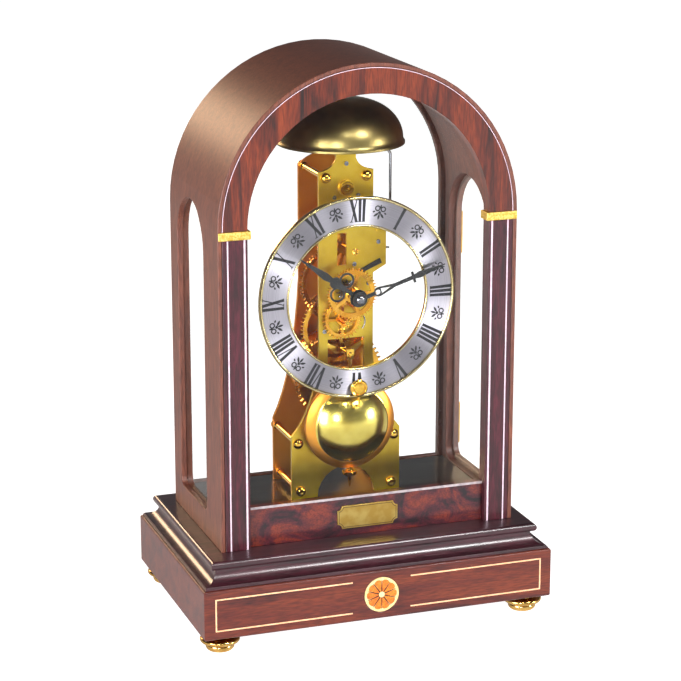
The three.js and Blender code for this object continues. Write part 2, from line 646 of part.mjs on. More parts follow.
// Ears that carry the lower posts where the plate is too narrow for them.
function postEars() {
  const w = DIAL_POST_RADIUS + 1.2;
  return [DIAL_POSTS.lower_left, DIAL_POSTS.lower_right].map((degrees) => {
    const [x, z] = polar(AT_CENTRE, DIAL_POST_CIRCLE, degrees);
    return join(
      box(Math.min(x, 0), Math.max(x, 0), Y_FP, Y_FP_BACK, z - w, z + w),
      rod(w, Y_FP, Y_FP_BACK, { x, z }, 24),
    );
  });
}
const NOTCH = 20.5; // half width and height of the arch cut out between the plates' feet
function archNotch(w, h) {
  const crown = arc(0, Z_FLOOR + h - w, w, 0, 180, 12);
  return polygon([[w, Z_FLOOR - OVERCUT], ...crown, [-w, Z_FLOOR - OVERCUT]]);
}
function frontPlate() {
  const right = [
    [FOOT_HALF, Z_FLOOR],
    [FOOT_HALF, Z_FLOOR + 44.5],
  ];
  const ogee = new THREE.QuadraticBezierCurve(
    new THREE.Vector2(FOOT_HALF, Z_FLOOR + 44.5),
    new THREE.Vector2(TOWER_HALF + 4.5, Z_FLOOR + 62),
    new THREE.Vector2(TOWER_HALF, Z_FLOOR + 96),
  ).getPoints(8).slice(1).map((p) => [p.x, p.y]);
  const lug = [
    [TOWER_HALF, Z_CENTRE + 10.5],
    [LUG_HALF, Z_CENTRE + 15.5],
    [LUG_HALF, Z_CENTRE + 47.5],
    [TOWER_HALF, Z_CENTRE + 47.5],
  ];
  const crown = new THREE.QuadraticBezierCurve(
    new THREE.Vector2(TOWER_HALF, Z_ANCHOR + 11.5),
    new THREE.Vector2(NECK_HALF + 2, Z_ANCHOR + 13),
    new THREE.Vector2(NECK_HALF, Z_ANCHOR + 20),
  ).getPoints(6).map((p) => [p.x, p.y]);
  const neck = [[NECK_HALF, Z_ANCHOR + 23]];
  const left = [...right, ...ogee, ...crown, ...neck].map(([x, z]) => [-x, z]).reverse();
  const outline = polygon([...right, ...ogee, ...lug, ...crown, ...neck, ...left]);
  const body = slabY(outline, Y_FP, Y_FP_BACK);
  const boss = rod(5.5, Y_FP - 2, Y_FP_BACK, AT_ANCHOR, 24);
  const stud = rod(0.9, Y_FP - 14, Y_FP_BACK, AT_MINUTE, 10);
  const hammerStud = join(
    rod(HAMMER_STUD, Y_FP, Y_HAMMER + 3, HAMMER_AT, 12),
    rod(2.2, Y_FP - 0.7, Y_FP_BACK, HAMMER_AT, 12),
  );
  const through = [Y_FP - 3 * OVERCUT, Y_FP_BACK + OVERCUT];
  const notch = slabY(archNotch(NOTCH, NOTCH), ...through);
  const slot = box(-6.2, 0.4, ...through, Z_CENTRE + 17, Z_CENTRE + 39);
  const window = box(-13, 13, ...through, Z_BARREL + 9, Z_BARREL + 29.5);
  const lower = [
    rod(2.4, ...through, AT_CENTRE),
    rod(1.2 + BORE, ...through, AT_BARREL),
    rod(1.2 + BORE, ...through, AT_ANCHOR),
  ];
  const holes = [notch, slot, window, ...lower, ...plateHoles(Y_FP, Y_FP_BACK)];
  return cut(join(body, ...postEars(), boss, stud, hammerStud), ...holes);
}
function backPlate() {
  const curve = new THREE.QuadraticBezierCurve(
    new THREE.Vector2(FOOT_HALF - 1.5, Z_FLOOR + 45),
    new THREE.Vector2(TOWER_HALF + 3, Z_FLOOR + 75),
    new THREE.Vector2(TOWER_HALF - 1, Z_CENTRE),
  ).getPoints(8).map((p) => [p.x, p.y]);
  const crown = arc(0, Z_ANCHOR - 8, 24.5, 42, 90, 5);
  const shoulder = [TOWER_HALF - 1, Z_ANCHOR + 8];
  const right = [[FOOT_HALF - 1.5, Z_FLOOR], ...curve, shoulder, ...crown.slice(0, -1)];
  const left = right.map(([x, z]) => [-x, z]).reverse();
  const body = slabY(polygon([...right, crown.at(-1), ...left]), Y_BP, Y_BP_BACK);
  const through = [Y_BP - OVERCUT, Y_BP_BACK + OVERCUT];
  const holes = [
    rod(0.8 + BORE, ...through, AT_CENTRE, 12),
    rod(3 + BORE, ...through, AT_BARREL),
    rod(0.8 + BORE, ...through, AT_ANCHOR, 12),
  ];
  const clickStud = rod(CLICK_STUD, Y_BP, Y_BP_BACK + 4, CLICK_AT, 10);
  const notch = slabY(archNotch(NOTCH, NOTCH), ...through);
  return cut(join(body, clickStud), notch, ...holes, ...plateHoles(Y_BP, Y_BP_BACK));
}

// ---------------------------------------------------------------- the going train
function secondWheel() {
  const face = [Y_GREAT - PINION_OVER, Y_GREAT + WHEEL_THICKNESS + 2 * PINION_OVER];
  const pinion = pinionBody(GREAT, direction(AT_SECOND, AT_BARREL), AT_SECOND, ...face);
  const wheel = wheelBody(SECOND, direction(AT_SECOND, AT_CENTRE), AT_SECOND, Y_SECOND);
  return join(arbor(AT_SECOND, 1.6), pinion, wheel);
}
function centreWheel() {
  const face = [Y_SECOND - PINION_OVER, Y_SECOND + WHEEL_THICKNESS + PINION_OVER];
  const pinion = pinionBody(SECOND, direction(AT_CENTRE, AT_SECOND), AT_CENTRE, ...face);
  const wheel = wheelBody(CENTRE, direction(AT_CENTRE, AT_THIRD), AT_CENTRE, Y_CENTRE_WHEEL);
  const shaft = turnedY([
    [0, Y_NUT_FRONT + 1],
    [1.3, Y_NUT_FRONT + 1],
    [1.3, Y_FP - 0.6],
    [1.9, Y_FP - 0.6],
    [1.9, Y_BP - GAP],
    [0.8, Y_BP - GAP],
    [0.8, Y_BP_BACK - GAP],
    [0, Y_BP_BACK - GAP],
  ], AT_CENTRE, 16);
  return join(shaft, pinion, wheel);
}
function thirdWheel() {
  const face = [Y_CENTRE_WHEEL - PINION_OVER, Y_CENTRE_WHEEL + WHEEL_THICKNESS + PINION_OVER];
  const pinion = pinionBody(CENTRE, direction(AT_THIRD, AT_CENTRE), AT_THIRD, ...face);
  const wheel = wheelBody(THIRD, direction(AT_THIRD, AT_ESCAPE), AT_THIRD, Y_THIRD);
  return join(arbor(AT_THIRD, 1.2), pinion, wheel);
}
function escapeWheel() {
  const face = [Y_THIRD - PINION_OVER, Y_THIRD + WHEEL_THICKNESS + PINION_OVER];
  const pinion = pinionBody(THIRD, direction(AT_ESCAPE, AT_THIRD), AT_ESCAPE, ...face);
  const pitch = 360 / ESCAPE_TEETH;
  const points = [];
  for (let i = 0; i < ESCAPE_TEETH; i++) {
    const a = i * pitch;
    points.push(
      polar(AT_ESCAPE, ESCAPE_RADIUS - 3, a),
      polar(AT_ESCAPE, ESCAPE_RADIUS, a + pitch * 0.42),
      polar(AT_ESCAPE, ESCAPE_RADIUS, a + pitch * 0.52),
    );
  }
  const shape = crossings(polygon(points), AT_ESCAPE, 4, ESCAPE_RADIUS - 5, 4, 0.9);
  return join(arbor(AT_ESCAPE, 1.1), pinion, slabY(shape, Y_ESCAPE, Y_ESCAPE + WHEEL_THICKNESS));
}
function barrel() {
  const root = (GREAT.module * GREAT.wheel) / 2 - 1.1 * GREAT.module;
  const wheel = slabY(
    polygon(gearOutline(GREAT.wheel, GREAT.module, false, direction(AT_BARREL, AT_SECOND), AT_BARREL)),
    Y_GREAT, Y_GREAT + WHEEL_THICKNESS + 0.6,
  );
  const y0 = Y_GREAT;
  const y1 = Y_GREAT + BARREL_LENGTH;
  const r = Math.min(BARREL_RADIUS, root - 1.5);
  const profile = [
    [0, y0 - 1],
    [7, y0 - 1],
    [7, y0],
    [r, y0],
    [r, y1 - 1],
    [r + 0.6, y1 - 1],
    [r + 0.6, y1],
    [0, y1],
  ];
  const drum = turnedY(profile, AT_BARREL, 32);
  return cut(join(wheel, drum), rod(3 + BORE, y0 - 2 * OVERCUT, y1 + OVERCUT, AT_BARREL));
}

// ---------------------------------------------------------------- winding work
const Y_RATCHET = Y_BP_BACK + 1;
const ratchetPoint = (r, degrees) => polar(AT_BARREL, r, degrees);
const CLICK_TOOTH = 360 / RATCHET_TEETH; // direction of the tooth the click rests behind
const CLICK_STUD = 0.9;
const [clickX, clickZ] = ratchetPoint(RATCHET_RADIUS + 4.7, CLICK_TOOTH + 40);
const CLICK_AT = { x: clickX, z: clickZ };
function windingArbor() {
  const shaft = turnedY([
    [0, Y_FP + GAP],
    [1.2, Y_FP + GAP],
    [1.2, Y_FP_BACK + GAP],
    [3, Y_FP_BACK + GAP],
    [3, Y_RATCHET + 2],
    [0, Y_RATCHET + 2],
  ], AT_BARREL);
  const side = 2;
  const square = box(-side, side, Y_RATCHET, Y_RATCHET + 7.5, Z_BARREL - side, Z_BARREL + side);
  const pitch = 360 / RATCHET_TEETH;
  const points = [];
  for (let i = 0; i < RATCHET_TEETH; i++) {
    points.push(ratchetPoint(RATCHET_RADIUS - 1.6, i * pitch));
    points.push(ratchetPoint(RATCHET_RADIUS, (i + 0.94) * pitch));
  }
  return join(shaft, square, slabY(polygon(points), Y_RATCHET, Y_RATCHET + 1.6));
}
function click() {
  const r = RATCHET_RADIUS;
  const t = CLICK_TOOTH;
  const arm = polygon([
    ratchetPoint(r - 1.1, t + 1.4),
    ratchetPoint(r - 0.6, t + 4.2),
    ratchetPoint(r + 0.9, t + 9),
    [CLICK_AT.x - 0.8, CLICK_AT.z - 1.8],
    [CLICK_AT.x + 2, CLICK_AT.z - 0.4],
    ratchetPoint(r + 3.2, t + 9),
    ratchetPoint(r + 1.5, t + 1.6),
  ]);
  const y0 = Y_RATCHET;
  const hub = rod(2.2, y0, y0 + 1.6, CLICK_AT, 14);
  const bore = rod(CLICK_STUD + BORE, y0 - OVERCUT, y0 + 2 * OVERCUT, CLICK_AT, 10);
  return cut(join(slabY(arm, y0, y0 + 1.6), hub), bore);
}

// ---------------------------------------------------------------- dial, motion work and hands
const Y_DIAL = Y_DIAL_BACK - DIAL_THICKNESS;
const Y_HOUR_HAND = Y_DIAL - 2.4;
const Y_MINUTE_HAND = Y_HOUR_HAND - 3;
const Y_NUT_FRONT = Y_MINUTE_HAND - 2.6;
const PIPE = 2.4;
const HOUR_PIPE = 3.6;
function dialRing() {
  const r0 = DIAL_OPENING;
  const r1 = DIAL_RADIUS;
  const profile = [
    [r0, Y_DIAL_BACK],
    [r0, Y_DIAL - 1],
    [r0 + 0.7, Y_DIAL - 1.3],
    [r0 + 1.4, Y_DIAL],
    [r1 - 2.2, Y_DIAL],
    [r1 - 1.1, Y_DIAL - 1.5],
    [r1, Y_DIAL - 1],
    [r1, Y_DIAL_BACK],
    [r0, Y_DIAL_BACK],
  ];
  return turnedY(profile, AT_CENTRE, 56);
}
function dialPost(degrees) {
  const [x, z] = polar(AT_CENTRE, DIAL_POST_CIRCLE, degrees);
  return rod(DIAL_POST_RADIUS, Y_DIAL_BACK, Y_FP, { x, z });
}
function cannonPinion() {
  const teeth = slabY(
    polygon(gearOutline(CANNON.wheel, CANNON.module, false, direction(AT_CENTRE, AT_MINUTE), AT_CENTRE)),
    Y_FP - 3.6, Y_FP - 1,
  );
  const pipe = rod(PIPE, Y_MINUTE_HAND - 0.3, Y_FP - 1, AT_CENTRE);
  return cut(join(teeth, pipe), rod(1.3 + BORE, Y_NUT_FRONT - OVERCUT, Y_FP + OVERCUT, AT_CENTRE));
}
const Y_HOUR_WHEEL = Y_FP - 12.5;
function minuteWheel() {
  const toCentre = direction(AT_MINUTE, AT_CENTRE);
  const half = 180 / CANNON.pinion;
  const wheelShape = polygon(gearOutline(CANNON.pinion, CANNON.module, false, toCentre + half, AT_MINUTE));
  crossings(wheelShape, AT_MINUTE, 4.2, 10.2, 4, 1);
  const wheel = slabY(wheelShape, Y_FP - 3.1, Y_FP - 1.5);
  const pinion = pinionBody(HOUR, toCentre, AT_MINUTE, Y_HOUR_WHEEL - 1, Y_FP - 3);
  return cut(join(wheel, pinion), rod(0.9 + BORE, Y_HOUR_WHEEL - OVERCUT, Y_FP, AT_MINUTE, 12));
}
function hourWheel() {
  const toMinute = direction(AT_CENTRE, AT_MINUTE);
  const shape = polygon(gearOutline(HOUR.wheel, HOUR.module, false, toMinute, AT_CENTRE));
  const wheel = slabY(shape, Y_HOUR_WHEEL, Y_HOUR_WHEEL + WHEEL_THICKNESS);
  const pipe = rod(HOUR_PIPE, Y_HOUR_HAND - 0.3, Y_HOUR_WHEEL + WHEEL_THICKNESS, AT_CENTRE);
  return cut(join(wheel, pipe), rod(PIPE + BORE, Y_MINUTE_HAND, Y_FP, AT_CENTRE));
}
// A flat outline drawn pointing at twelve, turned clockwise about the hands' axis.
function handBody(parts, holes, degrees, y) {
  const turn = (s) => s.rotate([0, degrees, 0]).translate([0, 0, Z_CENTRE]);
  const slab = (shape) => turn(slabY(shape, y, y + HAND_THICKNESS));
  const cutter = (shape) => turn(slabY(shape, y - OVERCUT, y + HAND_THICKNESS + OVERCUT));
  return cut(join(...parts.map(slab)), ...holes.map(cutter));
}
const disc = (x, z, r, steps = 16) => polygon(arc(x, z, r, 0, 360, steps).slice(0, -1));
// An outline that is the same on both sides of the line to twelve, from its right side's points.
const mirrored = (right) => polygon([...right, ...right.map(([x, z]) => [-x, z]).reverse()]);
function minuteHand() {
  const loop = 3.2;
  const z0 = 14;
  const meet = 26;
  const bar = 39.5;
  const blade = mirrored([[1.1, meet - 2], [1.3, bar], [2.2, bar + 5], [HAND_TIP, MINUTE_HAND]]);
  const arms = mirrored([[loop, z0], [1.1, meet]]);
  const between = polygon([[-loop + 1.3, z0 + 1.5], [loop - 1.3, z0 + 1.5], [0, meet - 3]]);
  const cross = mirrored([[3.8, bar - 0.8], [3.8, bar + 0.8]]);
  const neck = mirrored([[1.3, 3], [1.3, 12]]);
  const parts = [disc(0, 0, 5), neck, disc(0, z0 - 0.5, loop), arms, blade, cross];
  const holes = [disc(0, 0, PIPE + BORE), disc(0, z0 - 1, loop - 1.4), between];
  return handBody(parts, holes, MINUTE_ANGLE, Y_MINUTE_HAND);
}
function hourHand() {
  const loop = 5.2;
  const z0 = 17.5;
  const off = 5.6;
  const spear = mirrored([[1.2, z0 + 2], [2.6, z0 + 11], [HAND_TIP, HOUR_HAND]]);
  const neck = mirrored([[1.5, 4], [1.2, z0 + 3]]);
  const rings = (r) => [-off, off].map((x) => disc(x, z0 - 3.2, r));
  const parts = [disc(0, 0, 6), neck, ...rings(loop), disc(0, z0 + 2.4, 4), spear];
  const holes = [disc(0, 0, HOUR_PIPE + BORE), ...rings(loop - 1.3)];
  return handBody(parts, holes, HOUR_ANGLE, Y_HOUR_HAND);
}
function handNut() {
  const y1 = Y_MINUTE_HAND - 0.3;
  const profile = [
    [0, Y_NUT_FRONT],
    [1.4, Y_NUT_FRONT],
    [2.6, Y_NUT_FRONT + 0.7],
    [3.2, Y_NUT_FRONT + 1.5],
    [3.2, y1],
    [0, y1],
  ];
  return cut(turnedY(profile, AT_CENTRE, 20), rod(1.3 + BORE, Y_NUT_FRONT + 0.7, y1 + OVERCUT, AT_CENTRE));
}

// ---------------------------------------------------------------- escapement and pendulum
const CRUTCH_HALF = 15; // half the opening of the crutch, which clears the arbors that pass through it
const CRUTCH_DROP = 112;
const Z_ARM = Z_ANCHOR - CRUTCH_DROP;
function anchorAndCrutch() {
  const rodBody = turnedY([
    [0, Y_FP - 1],
    [1.2, Y_FP - 1],
    [1.2, Y_BP - GAP],
    [0.8, Y_BP - GAP],
    [0.8, Y_BP_BACK - GAP],
    [0, Y_BP_BACK - GAP],
  ], AT_ANCHOR, 12);
  const tipAt = (s, r, a) => [s * r * Math.sin(a), AT_ESCAPE.z + r * Math.cos(a)];
  const spread = Math.acos(1 / 1.394);
  const clear = ESCAPE_RADIUS + 1.35;
  const pallets = polygon([
    [0, Z_ANCHOR + 3],
    [9, Z_ANCHOR - 1.5],
    tipAt(1, clear + 3.4, spread + 0.1),
    tipAt(1, clear, spread + 0.06),
    tipAt(1, clear, spread - 0.1),
    [6.5, Z_ANCHOR - 4.4],
    [0, Z_ANCHOR - 2.2],
    [-6.5, Z_ANCHOR - 4.4],
    tipAt(-1, clear, spread - 0.1),
    tipAt(-1, clear, spread + 0.06),
    tipAt(-1, clear + 3.4, spread + 0.1),
    [-9, Z_ANCHOR - 1.5],
  ]);
  const bar = 2.6;
  const low = Z_ARM - 2;
  const side = (s, grow) => [
    [s * (3.2 + grow), Z_ANCHOR + (grow ? 3 : -5)],
    [s * (CRUTCH_HALF + grow), Z_CENTRE + 16],
    [s * (CRUTCH_HALF + grow), low + 9],
    [s * (4 + grow), low + (grow ? 0 : 4)],
  ];
  const loop = (grow) => polygon([...side(1, grow), ...side(-1, grow).reverse()]);
  const crutch = cut(
    slabY(loop(bar), Y_CRUTCH, Y_CRUTCH + CRUTCH),
    slabY(loop(0), Y_CRUTCH - OVERCUT, Y_CRUTCH + OVERCUT),
  );
  const arm = rod(1.2, Y_ROD - 2.4, Y_CRUTCH + CRUTCH, { x: 0, z: Z_ARM });
  return join(rodBody, slabY(pallets, Y_ESCAPE - 0.3, Y_ESCAPE + WHEEL_THICKNESS + 0.3), crutch, arm);
}
const BOB_BOTTOM = Z_BOB - BOB_RADIUS;
function pendulumRod() {
  const shaft = turnedZ([
    [0, BOB_BOTTOM - 13.5],
    [0.4, BOB_BOTTOM - 13.2],
    [ROD_RADIUS, BOB_BOTTOM - 8],
    [ROD_RADIUS, Z_ARM - 2],
    [0, Z_ARM - 2],
  ], 0, Y_ROD, 12);
  const eye = box(-2.6, 2.6, Y_ROD - 1.2, Y_ROD + 1.2, Z_ARM - 3.4, Z_ARM + 3.4);
  const through = [Y_ROD - 2 * OVERCUT, Y_ROD + 2 * OVERCUT];
  return cut(join(shaft, eye), rod(1.2 + BORE, ...through, { x: 0, z: Z_ARM }));
}
const DOME_BASE = BOB_RADIUS - DOME_EDGE;
const Y_DOME = Y_ROD - 5;
const DOME_SPHERE = (DOME_BASE * DOME_BASE + DOME_RISE * DOME_RISE) / (2 * DOME_RISE);
function bob() {
  const spread = THREE.MathUtils.radToDeg(Math.asin(DOME_BASE / DOME_SPHERE));
  const dome = arc(0, Y_DOME - DOME_RISE + DOME_SPHERE, DOME_SPHERE, -90 + spread, -90, 6);
  dome.at(-1)[0] = 0;
  const profile = [
    [0, Y_ROD + 6],
    [BOB_RADIUS * 0.55, Y_ROD + 6],
    [BOB_RADIUS * 0.9, Y_ROD + 4.3],
    [BOB_RADIUS, Y_ROD + 1],
    [BOB_RADIUS, Y_ROD - 1],
    ...dome,
  ];
  const bore = post(ROD_RADIUS + BORE, BOB_BOTTOM - OVERCUT, Z_BOB + BOB_RADIUS + OVERCUT, 0, Y_ROD);
  return cut(turnedY(profile, { x: 0, z: Z_BOB }, 36), bore);
}
function rosette() {
  const y = Y_DIAL - 2.8;
  const z = Z_CENTRE - DIAL_RADIUS + 7;
  const at = { x: 0, z };
  const profile = [
    [0, y - 1.2],
    [ROSETTE_RADIUS * 0.6, y - 1],
    [ROSETTE_RADIUS * 0.72, y - 0.4],
    [ROSETTE_RADIUS, y - 0.6],
    [ROSETTE_RADIUS, y + 0.4],
    [0, y + 0.4],
  ];
  const plate = turnedY(profile, at, 20);
  // The stalk springs from the bob's dome and passes below the dial's edge.
  const underDial = Z_CENTRE - DIAL_RADIUS - STALK_DROP - Z_BOB;
  const rise = Math.min(DOME_BASE - STALK_INSET, underDial);
  const touch = Y_DOME - DOME_RISE + DOME_SPHERE - Math.sqrt(DOME_SPHERE ** 2 - rise ** 2);
  const stalk = wire([
    [0, touch - STALK_RADIUS - 0.2, Z_BOB + rise],
    [0, y - 0.2, Z_BOB + rise + 0.6],
    [0, y - 0.2, z - 2],
  ], STALK_RADIUS);
  return join(plate, stalk);
}
function ratingNut() {
  const z1 = BOB_BOTTOM - GAP;
  const r = 5.2;
  const inner = ROD_RADIUS + BORE;
  const profile = [
    [inner, z1],
    [inner, z1 - 5.5],
    [r * 0.5, z1 - 5.5],
    [r, z1 - 3.6],
    [r, z1 - 1.6],
    [r * 0.55, z1],
    [inner, z1],
  ];
  return turnedZ(profile, 0, Y_ROD, 16);
}

// ---------------------------------------------------------------- bell and hammer
function bell() {
  const r = BELL_RADIUS;
  const h = BELL_HEIGHT;
  const z0 = Z_RIM;
  const hole = BELL_POST_RADIUS + BORE;
  const outer = [[r, z0], [r, z0 + 2]];
  const inner = [];
  const steps = 7;
  for (let i = 0; i <= steps; i++) {
    const a = (Math.PI / 2) * (i / steps);
    const out = (r - 1.2 - hole) * Math.cos(a) ** 0.8 + hole;
    outer.push([Math.min(out, r - 1.2 - 0.05 * i), z0 + 3.4 + (h - 3.4) * Math.sin(a)]);
    const under = (r - 1.2 - BELL_WALL - hole) * Math.cos(a) ** 0.8 + hole;
    inner.push([Math.min(under, r - 1.2 - BELL_WALL - 0.05 * i), z0 + 1.4 + (h - 3.4) * Math.sin(a)]);
  }
  outer.at(-1)[0] = hole;
  inner.at(-1)[0] = hole;
  const profile = [...outer, ...inner.reverse(), [r - 1.4, z0], [r, z0]];
  return turnedZ(profile, 0, Y_BELL, 32);
}
function bellPost() {
  const z0 = Z_ANCHOR + 19;
  const arm = box(-3, 3, Y_FP_BACK, Y_BELL + 3, z0, z0 + 4);
  const top = Z_RIM + BELL_HEIGHT;
  const seat = top - BELL_WALL - GAP;
  const shaft = [
    [0, z0],
    [3, z0],
    [3, seat],
    [BELL_POST_RADIUS, seat],
    [BELL_POST_RADIUS, top + 3.4],
    [0, top + 3.4],
  ];
  const nut = [
    [0, top + GAP],
    [4, top + GAP],
    [4, top + 2.4],
    [2.4, top + 4.4],
    [0, top + 5],
  ];
  return join(arm, turnedZ(shaft, 0, Y_BELL, 20), turnedZ(nut, 0, Y_BELL, 6));
}
const Y_HAMMER = Y_FP_BACK + 4.8;
function hammer() {
  const y = Y_HAMMER;
  const { x, z } = HAMMER_AT;
  const hub = rod(2.6, y - 3.5, y + 2, HAMMER_AT, 14);
  const bore = rod(HAMMER_STUD + BORE, y - 3 * OVERCUT, y + 2 * OVERCUT, HAMMER_AT, 12);
  const top = Z_RIM + 4.5;
  const right = 33.8;
  const arm = wire([
    [x + 2.2, y, z + 1],
    [x + 4, y, z + 5],
    [right, y, z + 14],
    [right, y, top - 13],
    [right - 3, y, top - 9],
    [right - 3, y, top],
  ], HAMMER_WIRE);
  const wall = Math.sqrt((BELL_RADIUS - 1.2 - BELL_WALL) ** 2 - (y - Y_BELL) ** 2);
  const head = new THREE.CylinderGeometry(3, 3, 9, 14).rotateZ(Math.PI / 2).translate(wall - 6.2, y, top);
  const tail = wire([
    [x + 1, y - 2, z - 2],
    [LUG_HALF + 1, y - 2, z - 13],
    [LUG_HALF + 4, y - 2, z - 13.4],
  ], 0.7);
  return join(cut(hub, bore), cut(join(arm, tail), bore), solid(head));
}

// ---------------------------------------------------------------- assembly
const clock = new THREE.Group();
const add = (name, body, finish) => clock.add(mesh(name, body, ...finish));
const SIDES = { left: -1, right: 1 };

add("base_box", baseBox(), WALNUT);
add("medallion", medallion(), VENEERED);
add("foot_front_left", foot(-1, -1), BRASS);
add("foot_front_right", foot(1, -1), BRASS);
add("foot_rear_left", foot(-1, 1), BRASS);
add("foot_rear_right", foot(1, 1), BRASS);
add("cove_moulding", coveMoulding(), PURPLE);
add("base_plate", basePlate(), PURPLE);
add("case_shell", caseShell(), WALNUT);
add("front_arch", frontArch(), VENEERED);
add("front_rail", frontRail(), WALNUT);
add("front_glass", frontGlass(), CLEAR);
add("nameplate", nameplate(), GOLD);
add("case_floor", caseFloor(), BLACK);
for (const [word, side] of Object.entries(SIDES)) {
  add("pilaster_" + word, pilaster(side), PURPLE);
  add("capital_" + word, capital(side), GOLD);
  add("side_glass_" + word, sideGlass(side), CLEAR);
}
add("rear_door_frame", doorFrame(), WALNUT);
add("rear_door_glass", doorGlass(), CLEAR);
add("rear_door_knob", doorKnob(), BRASS);
for (const [word, upper] of Object.entries({ upper: true, lower: false })) {
  add("hinge_" + word + "_case_leaf", hingeCaseLeaf(upper), BRASS);
  add("hinge_" + word + "_door_leaf", hingeDoorLeaf(upper), BRASS);
}
add("front_plate", frontPlate(), BRASS);
add("back_plate", backPlate(), BRASS);
for (const [word, at] of Object.entries(PILLARS)) {
  for (const [hand, side] of Object.entries(SIDES)) {
    add("pillar_" + word + "_" + hand, pillar(mirrorX(at, side)), BRASS);
  }
}
add("barrel", barrel(), BRASS);
add("second_wheel", secondWheel(), BRASS);
add("centre_wheel", centreWheel(), BRASS);
add("third_wheel", thirdWheel(), BRASS);
add("escape_wheel", escapeWheel(), BRASS);
add("winding_arbor", windingArbor(), STEEL);
add("click", click(), STEEL);
add("anchor_and_crutch", anchorAndCrutch(), BRASS);
add("pendulum_rod", pendulumRod(), BRASS);
add("bob", bob(), BRASS);
add("rosette", rosette(), BRASS);
add("rating_nut", ratingNut(), BRASS);
add("dial_ring", dialRing(), SILVER);
for (const [word, degrees] of Object.entries(DIAL_POSTS)) {
  add("dial_post_" + word, dialPost(degrees), BRASS);
}
add("cannon_pinion", cannonPinion(), STEEL);
add("minute_wheel", minuteWheel(), BRASS);
add("hour_wheel", hourWheel(), BRASS);
add("hour_hand", hourHand(), BLACK);
add("minute_hand", minuteHand(), BLACK);
add("hand_nut", handNut(), BRASS);
add("bell", bell(), BRASS);
add("bell_post", bellPost(), BRASS);
add("hammer", hammer(), STEEL);

export default clock;
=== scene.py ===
"""Looks for an arch-top mantel clock: veneered case, brass movement, silvered dial and pendulum."""
import json
import logging
import math
from dataclasses import dataclass
from enum import Enum
from typing import Sequence

import bmesh
import bpy
from mathutils import Matrix, Vector
from mathutils.geometry import tessellate_polygon


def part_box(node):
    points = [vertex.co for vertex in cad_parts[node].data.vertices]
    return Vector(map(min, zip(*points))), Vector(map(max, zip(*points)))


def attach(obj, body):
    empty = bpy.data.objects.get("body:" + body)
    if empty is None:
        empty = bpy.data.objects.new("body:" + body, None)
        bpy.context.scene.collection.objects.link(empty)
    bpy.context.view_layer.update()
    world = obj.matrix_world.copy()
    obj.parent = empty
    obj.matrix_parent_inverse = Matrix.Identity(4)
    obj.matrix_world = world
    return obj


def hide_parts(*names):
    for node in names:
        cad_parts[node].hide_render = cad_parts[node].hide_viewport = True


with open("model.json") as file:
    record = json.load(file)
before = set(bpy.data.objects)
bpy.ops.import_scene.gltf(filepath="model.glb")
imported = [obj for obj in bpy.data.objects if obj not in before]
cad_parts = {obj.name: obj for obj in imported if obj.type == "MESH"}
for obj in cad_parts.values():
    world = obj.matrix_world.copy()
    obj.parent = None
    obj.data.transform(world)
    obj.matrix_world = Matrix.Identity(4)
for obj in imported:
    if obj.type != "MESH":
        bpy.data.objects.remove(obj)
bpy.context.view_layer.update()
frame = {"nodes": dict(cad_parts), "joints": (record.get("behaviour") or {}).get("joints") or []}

MM = 0.001
LOG = logging.getLogger("clock")
Point = tuple[float, float]
Point3 = tuple[float, float, float]
Outline = Sequence[Point]
Material, Mesh, Obj = bpy.types.Material, bpy.types.Mesh, bpy.types.Object
Node, NodeTree, Socket = bpy.types.Node, bpy.types.NodeTree, bpy.types.NodeSocket

# Edges sharper than this stay sharp in the shading and are rounded by softened(), in degrees.
SHARP = 32.0
# Two points nearer than this, in metres, are one.
SAME = 1e-7


class Axis(Enum):
    """The axis that a turned piece is turned about."""

    Y = "front to back"
    Z = "upright"


class Grain(Enum):
    """Which way the wood's grain runs, as how much slower the pattern runs along X, Y and Z."""

    UPRIGHT = (1.0, 1.0, 0.11)
    ACROSS = (0.11, 1.0, 1.0)
    DEEP = (1.0, 0.11, 1.0)
    BURL = (0.75, 1.0, 1.0)


# ------------------------------------------------------------------ small helpers
def colour(hex_code: str) -> tuple[float, float, float, float]:
    """Turns an sRGB hex colour to linear.

    Args:
        hex_code: Six hex digits after a hash.

    Returns:
        Red, green and blue, and an alpha of one.
    """
    parts = [int(hex_code[i : i + 2], 16) / 255 for i in (1, 3, 5)]
    linear = [c / 12.92 if c <= 0.04045 else ((c + 0.055) / 1.055) ** 2.4 for c in parts]
    return (linear[0], linear[1], linear[2], 1.0)


def add_node(tree: NodeTree, kind: str, inputs: dict | None = None, **settings) -> Node:
    """Adds a node with its settings and links.

    Args:
        tree: The tree to add to.
        kind: The node's type.
        inputs: Values or sockets for its inputs, by name or number.
        **settings: The node's own properties.

    Returns:
        The new node.
    """
    made = tree.nodes.new(kind)
    for key, value in settings.items():
        setattr(made, key, value)
    for key, value in (inputs or {}).items():
        if isinstance(value, Socket):
            tree.links.new(value, made.inputs[key])
        else:
            made.inputs[key].default_value = value
    return made


def ramp(tree: NodeTree, fac: Socket, stops: Sequence[tuple[float, tuple]]) -> Socket:
    """Maps a value to colours.

    Args:
        tree: The material's tree.
        fac: The value.
        stops: Places from 0 to 1 and their linear colours.

    Returns:
        The colour socket.
    """
    made = add_node(tree, "ShaderNodeValToRGB", {"Fac": fac})
    band = made.color_ramp
    while len(band.elements) < len(stops):
        band.elements.new(0.5)
    for element, (place, value) in zip(band.elements, stops):
        element.position = place
        element.color = value
    return made.outputs["Color"]


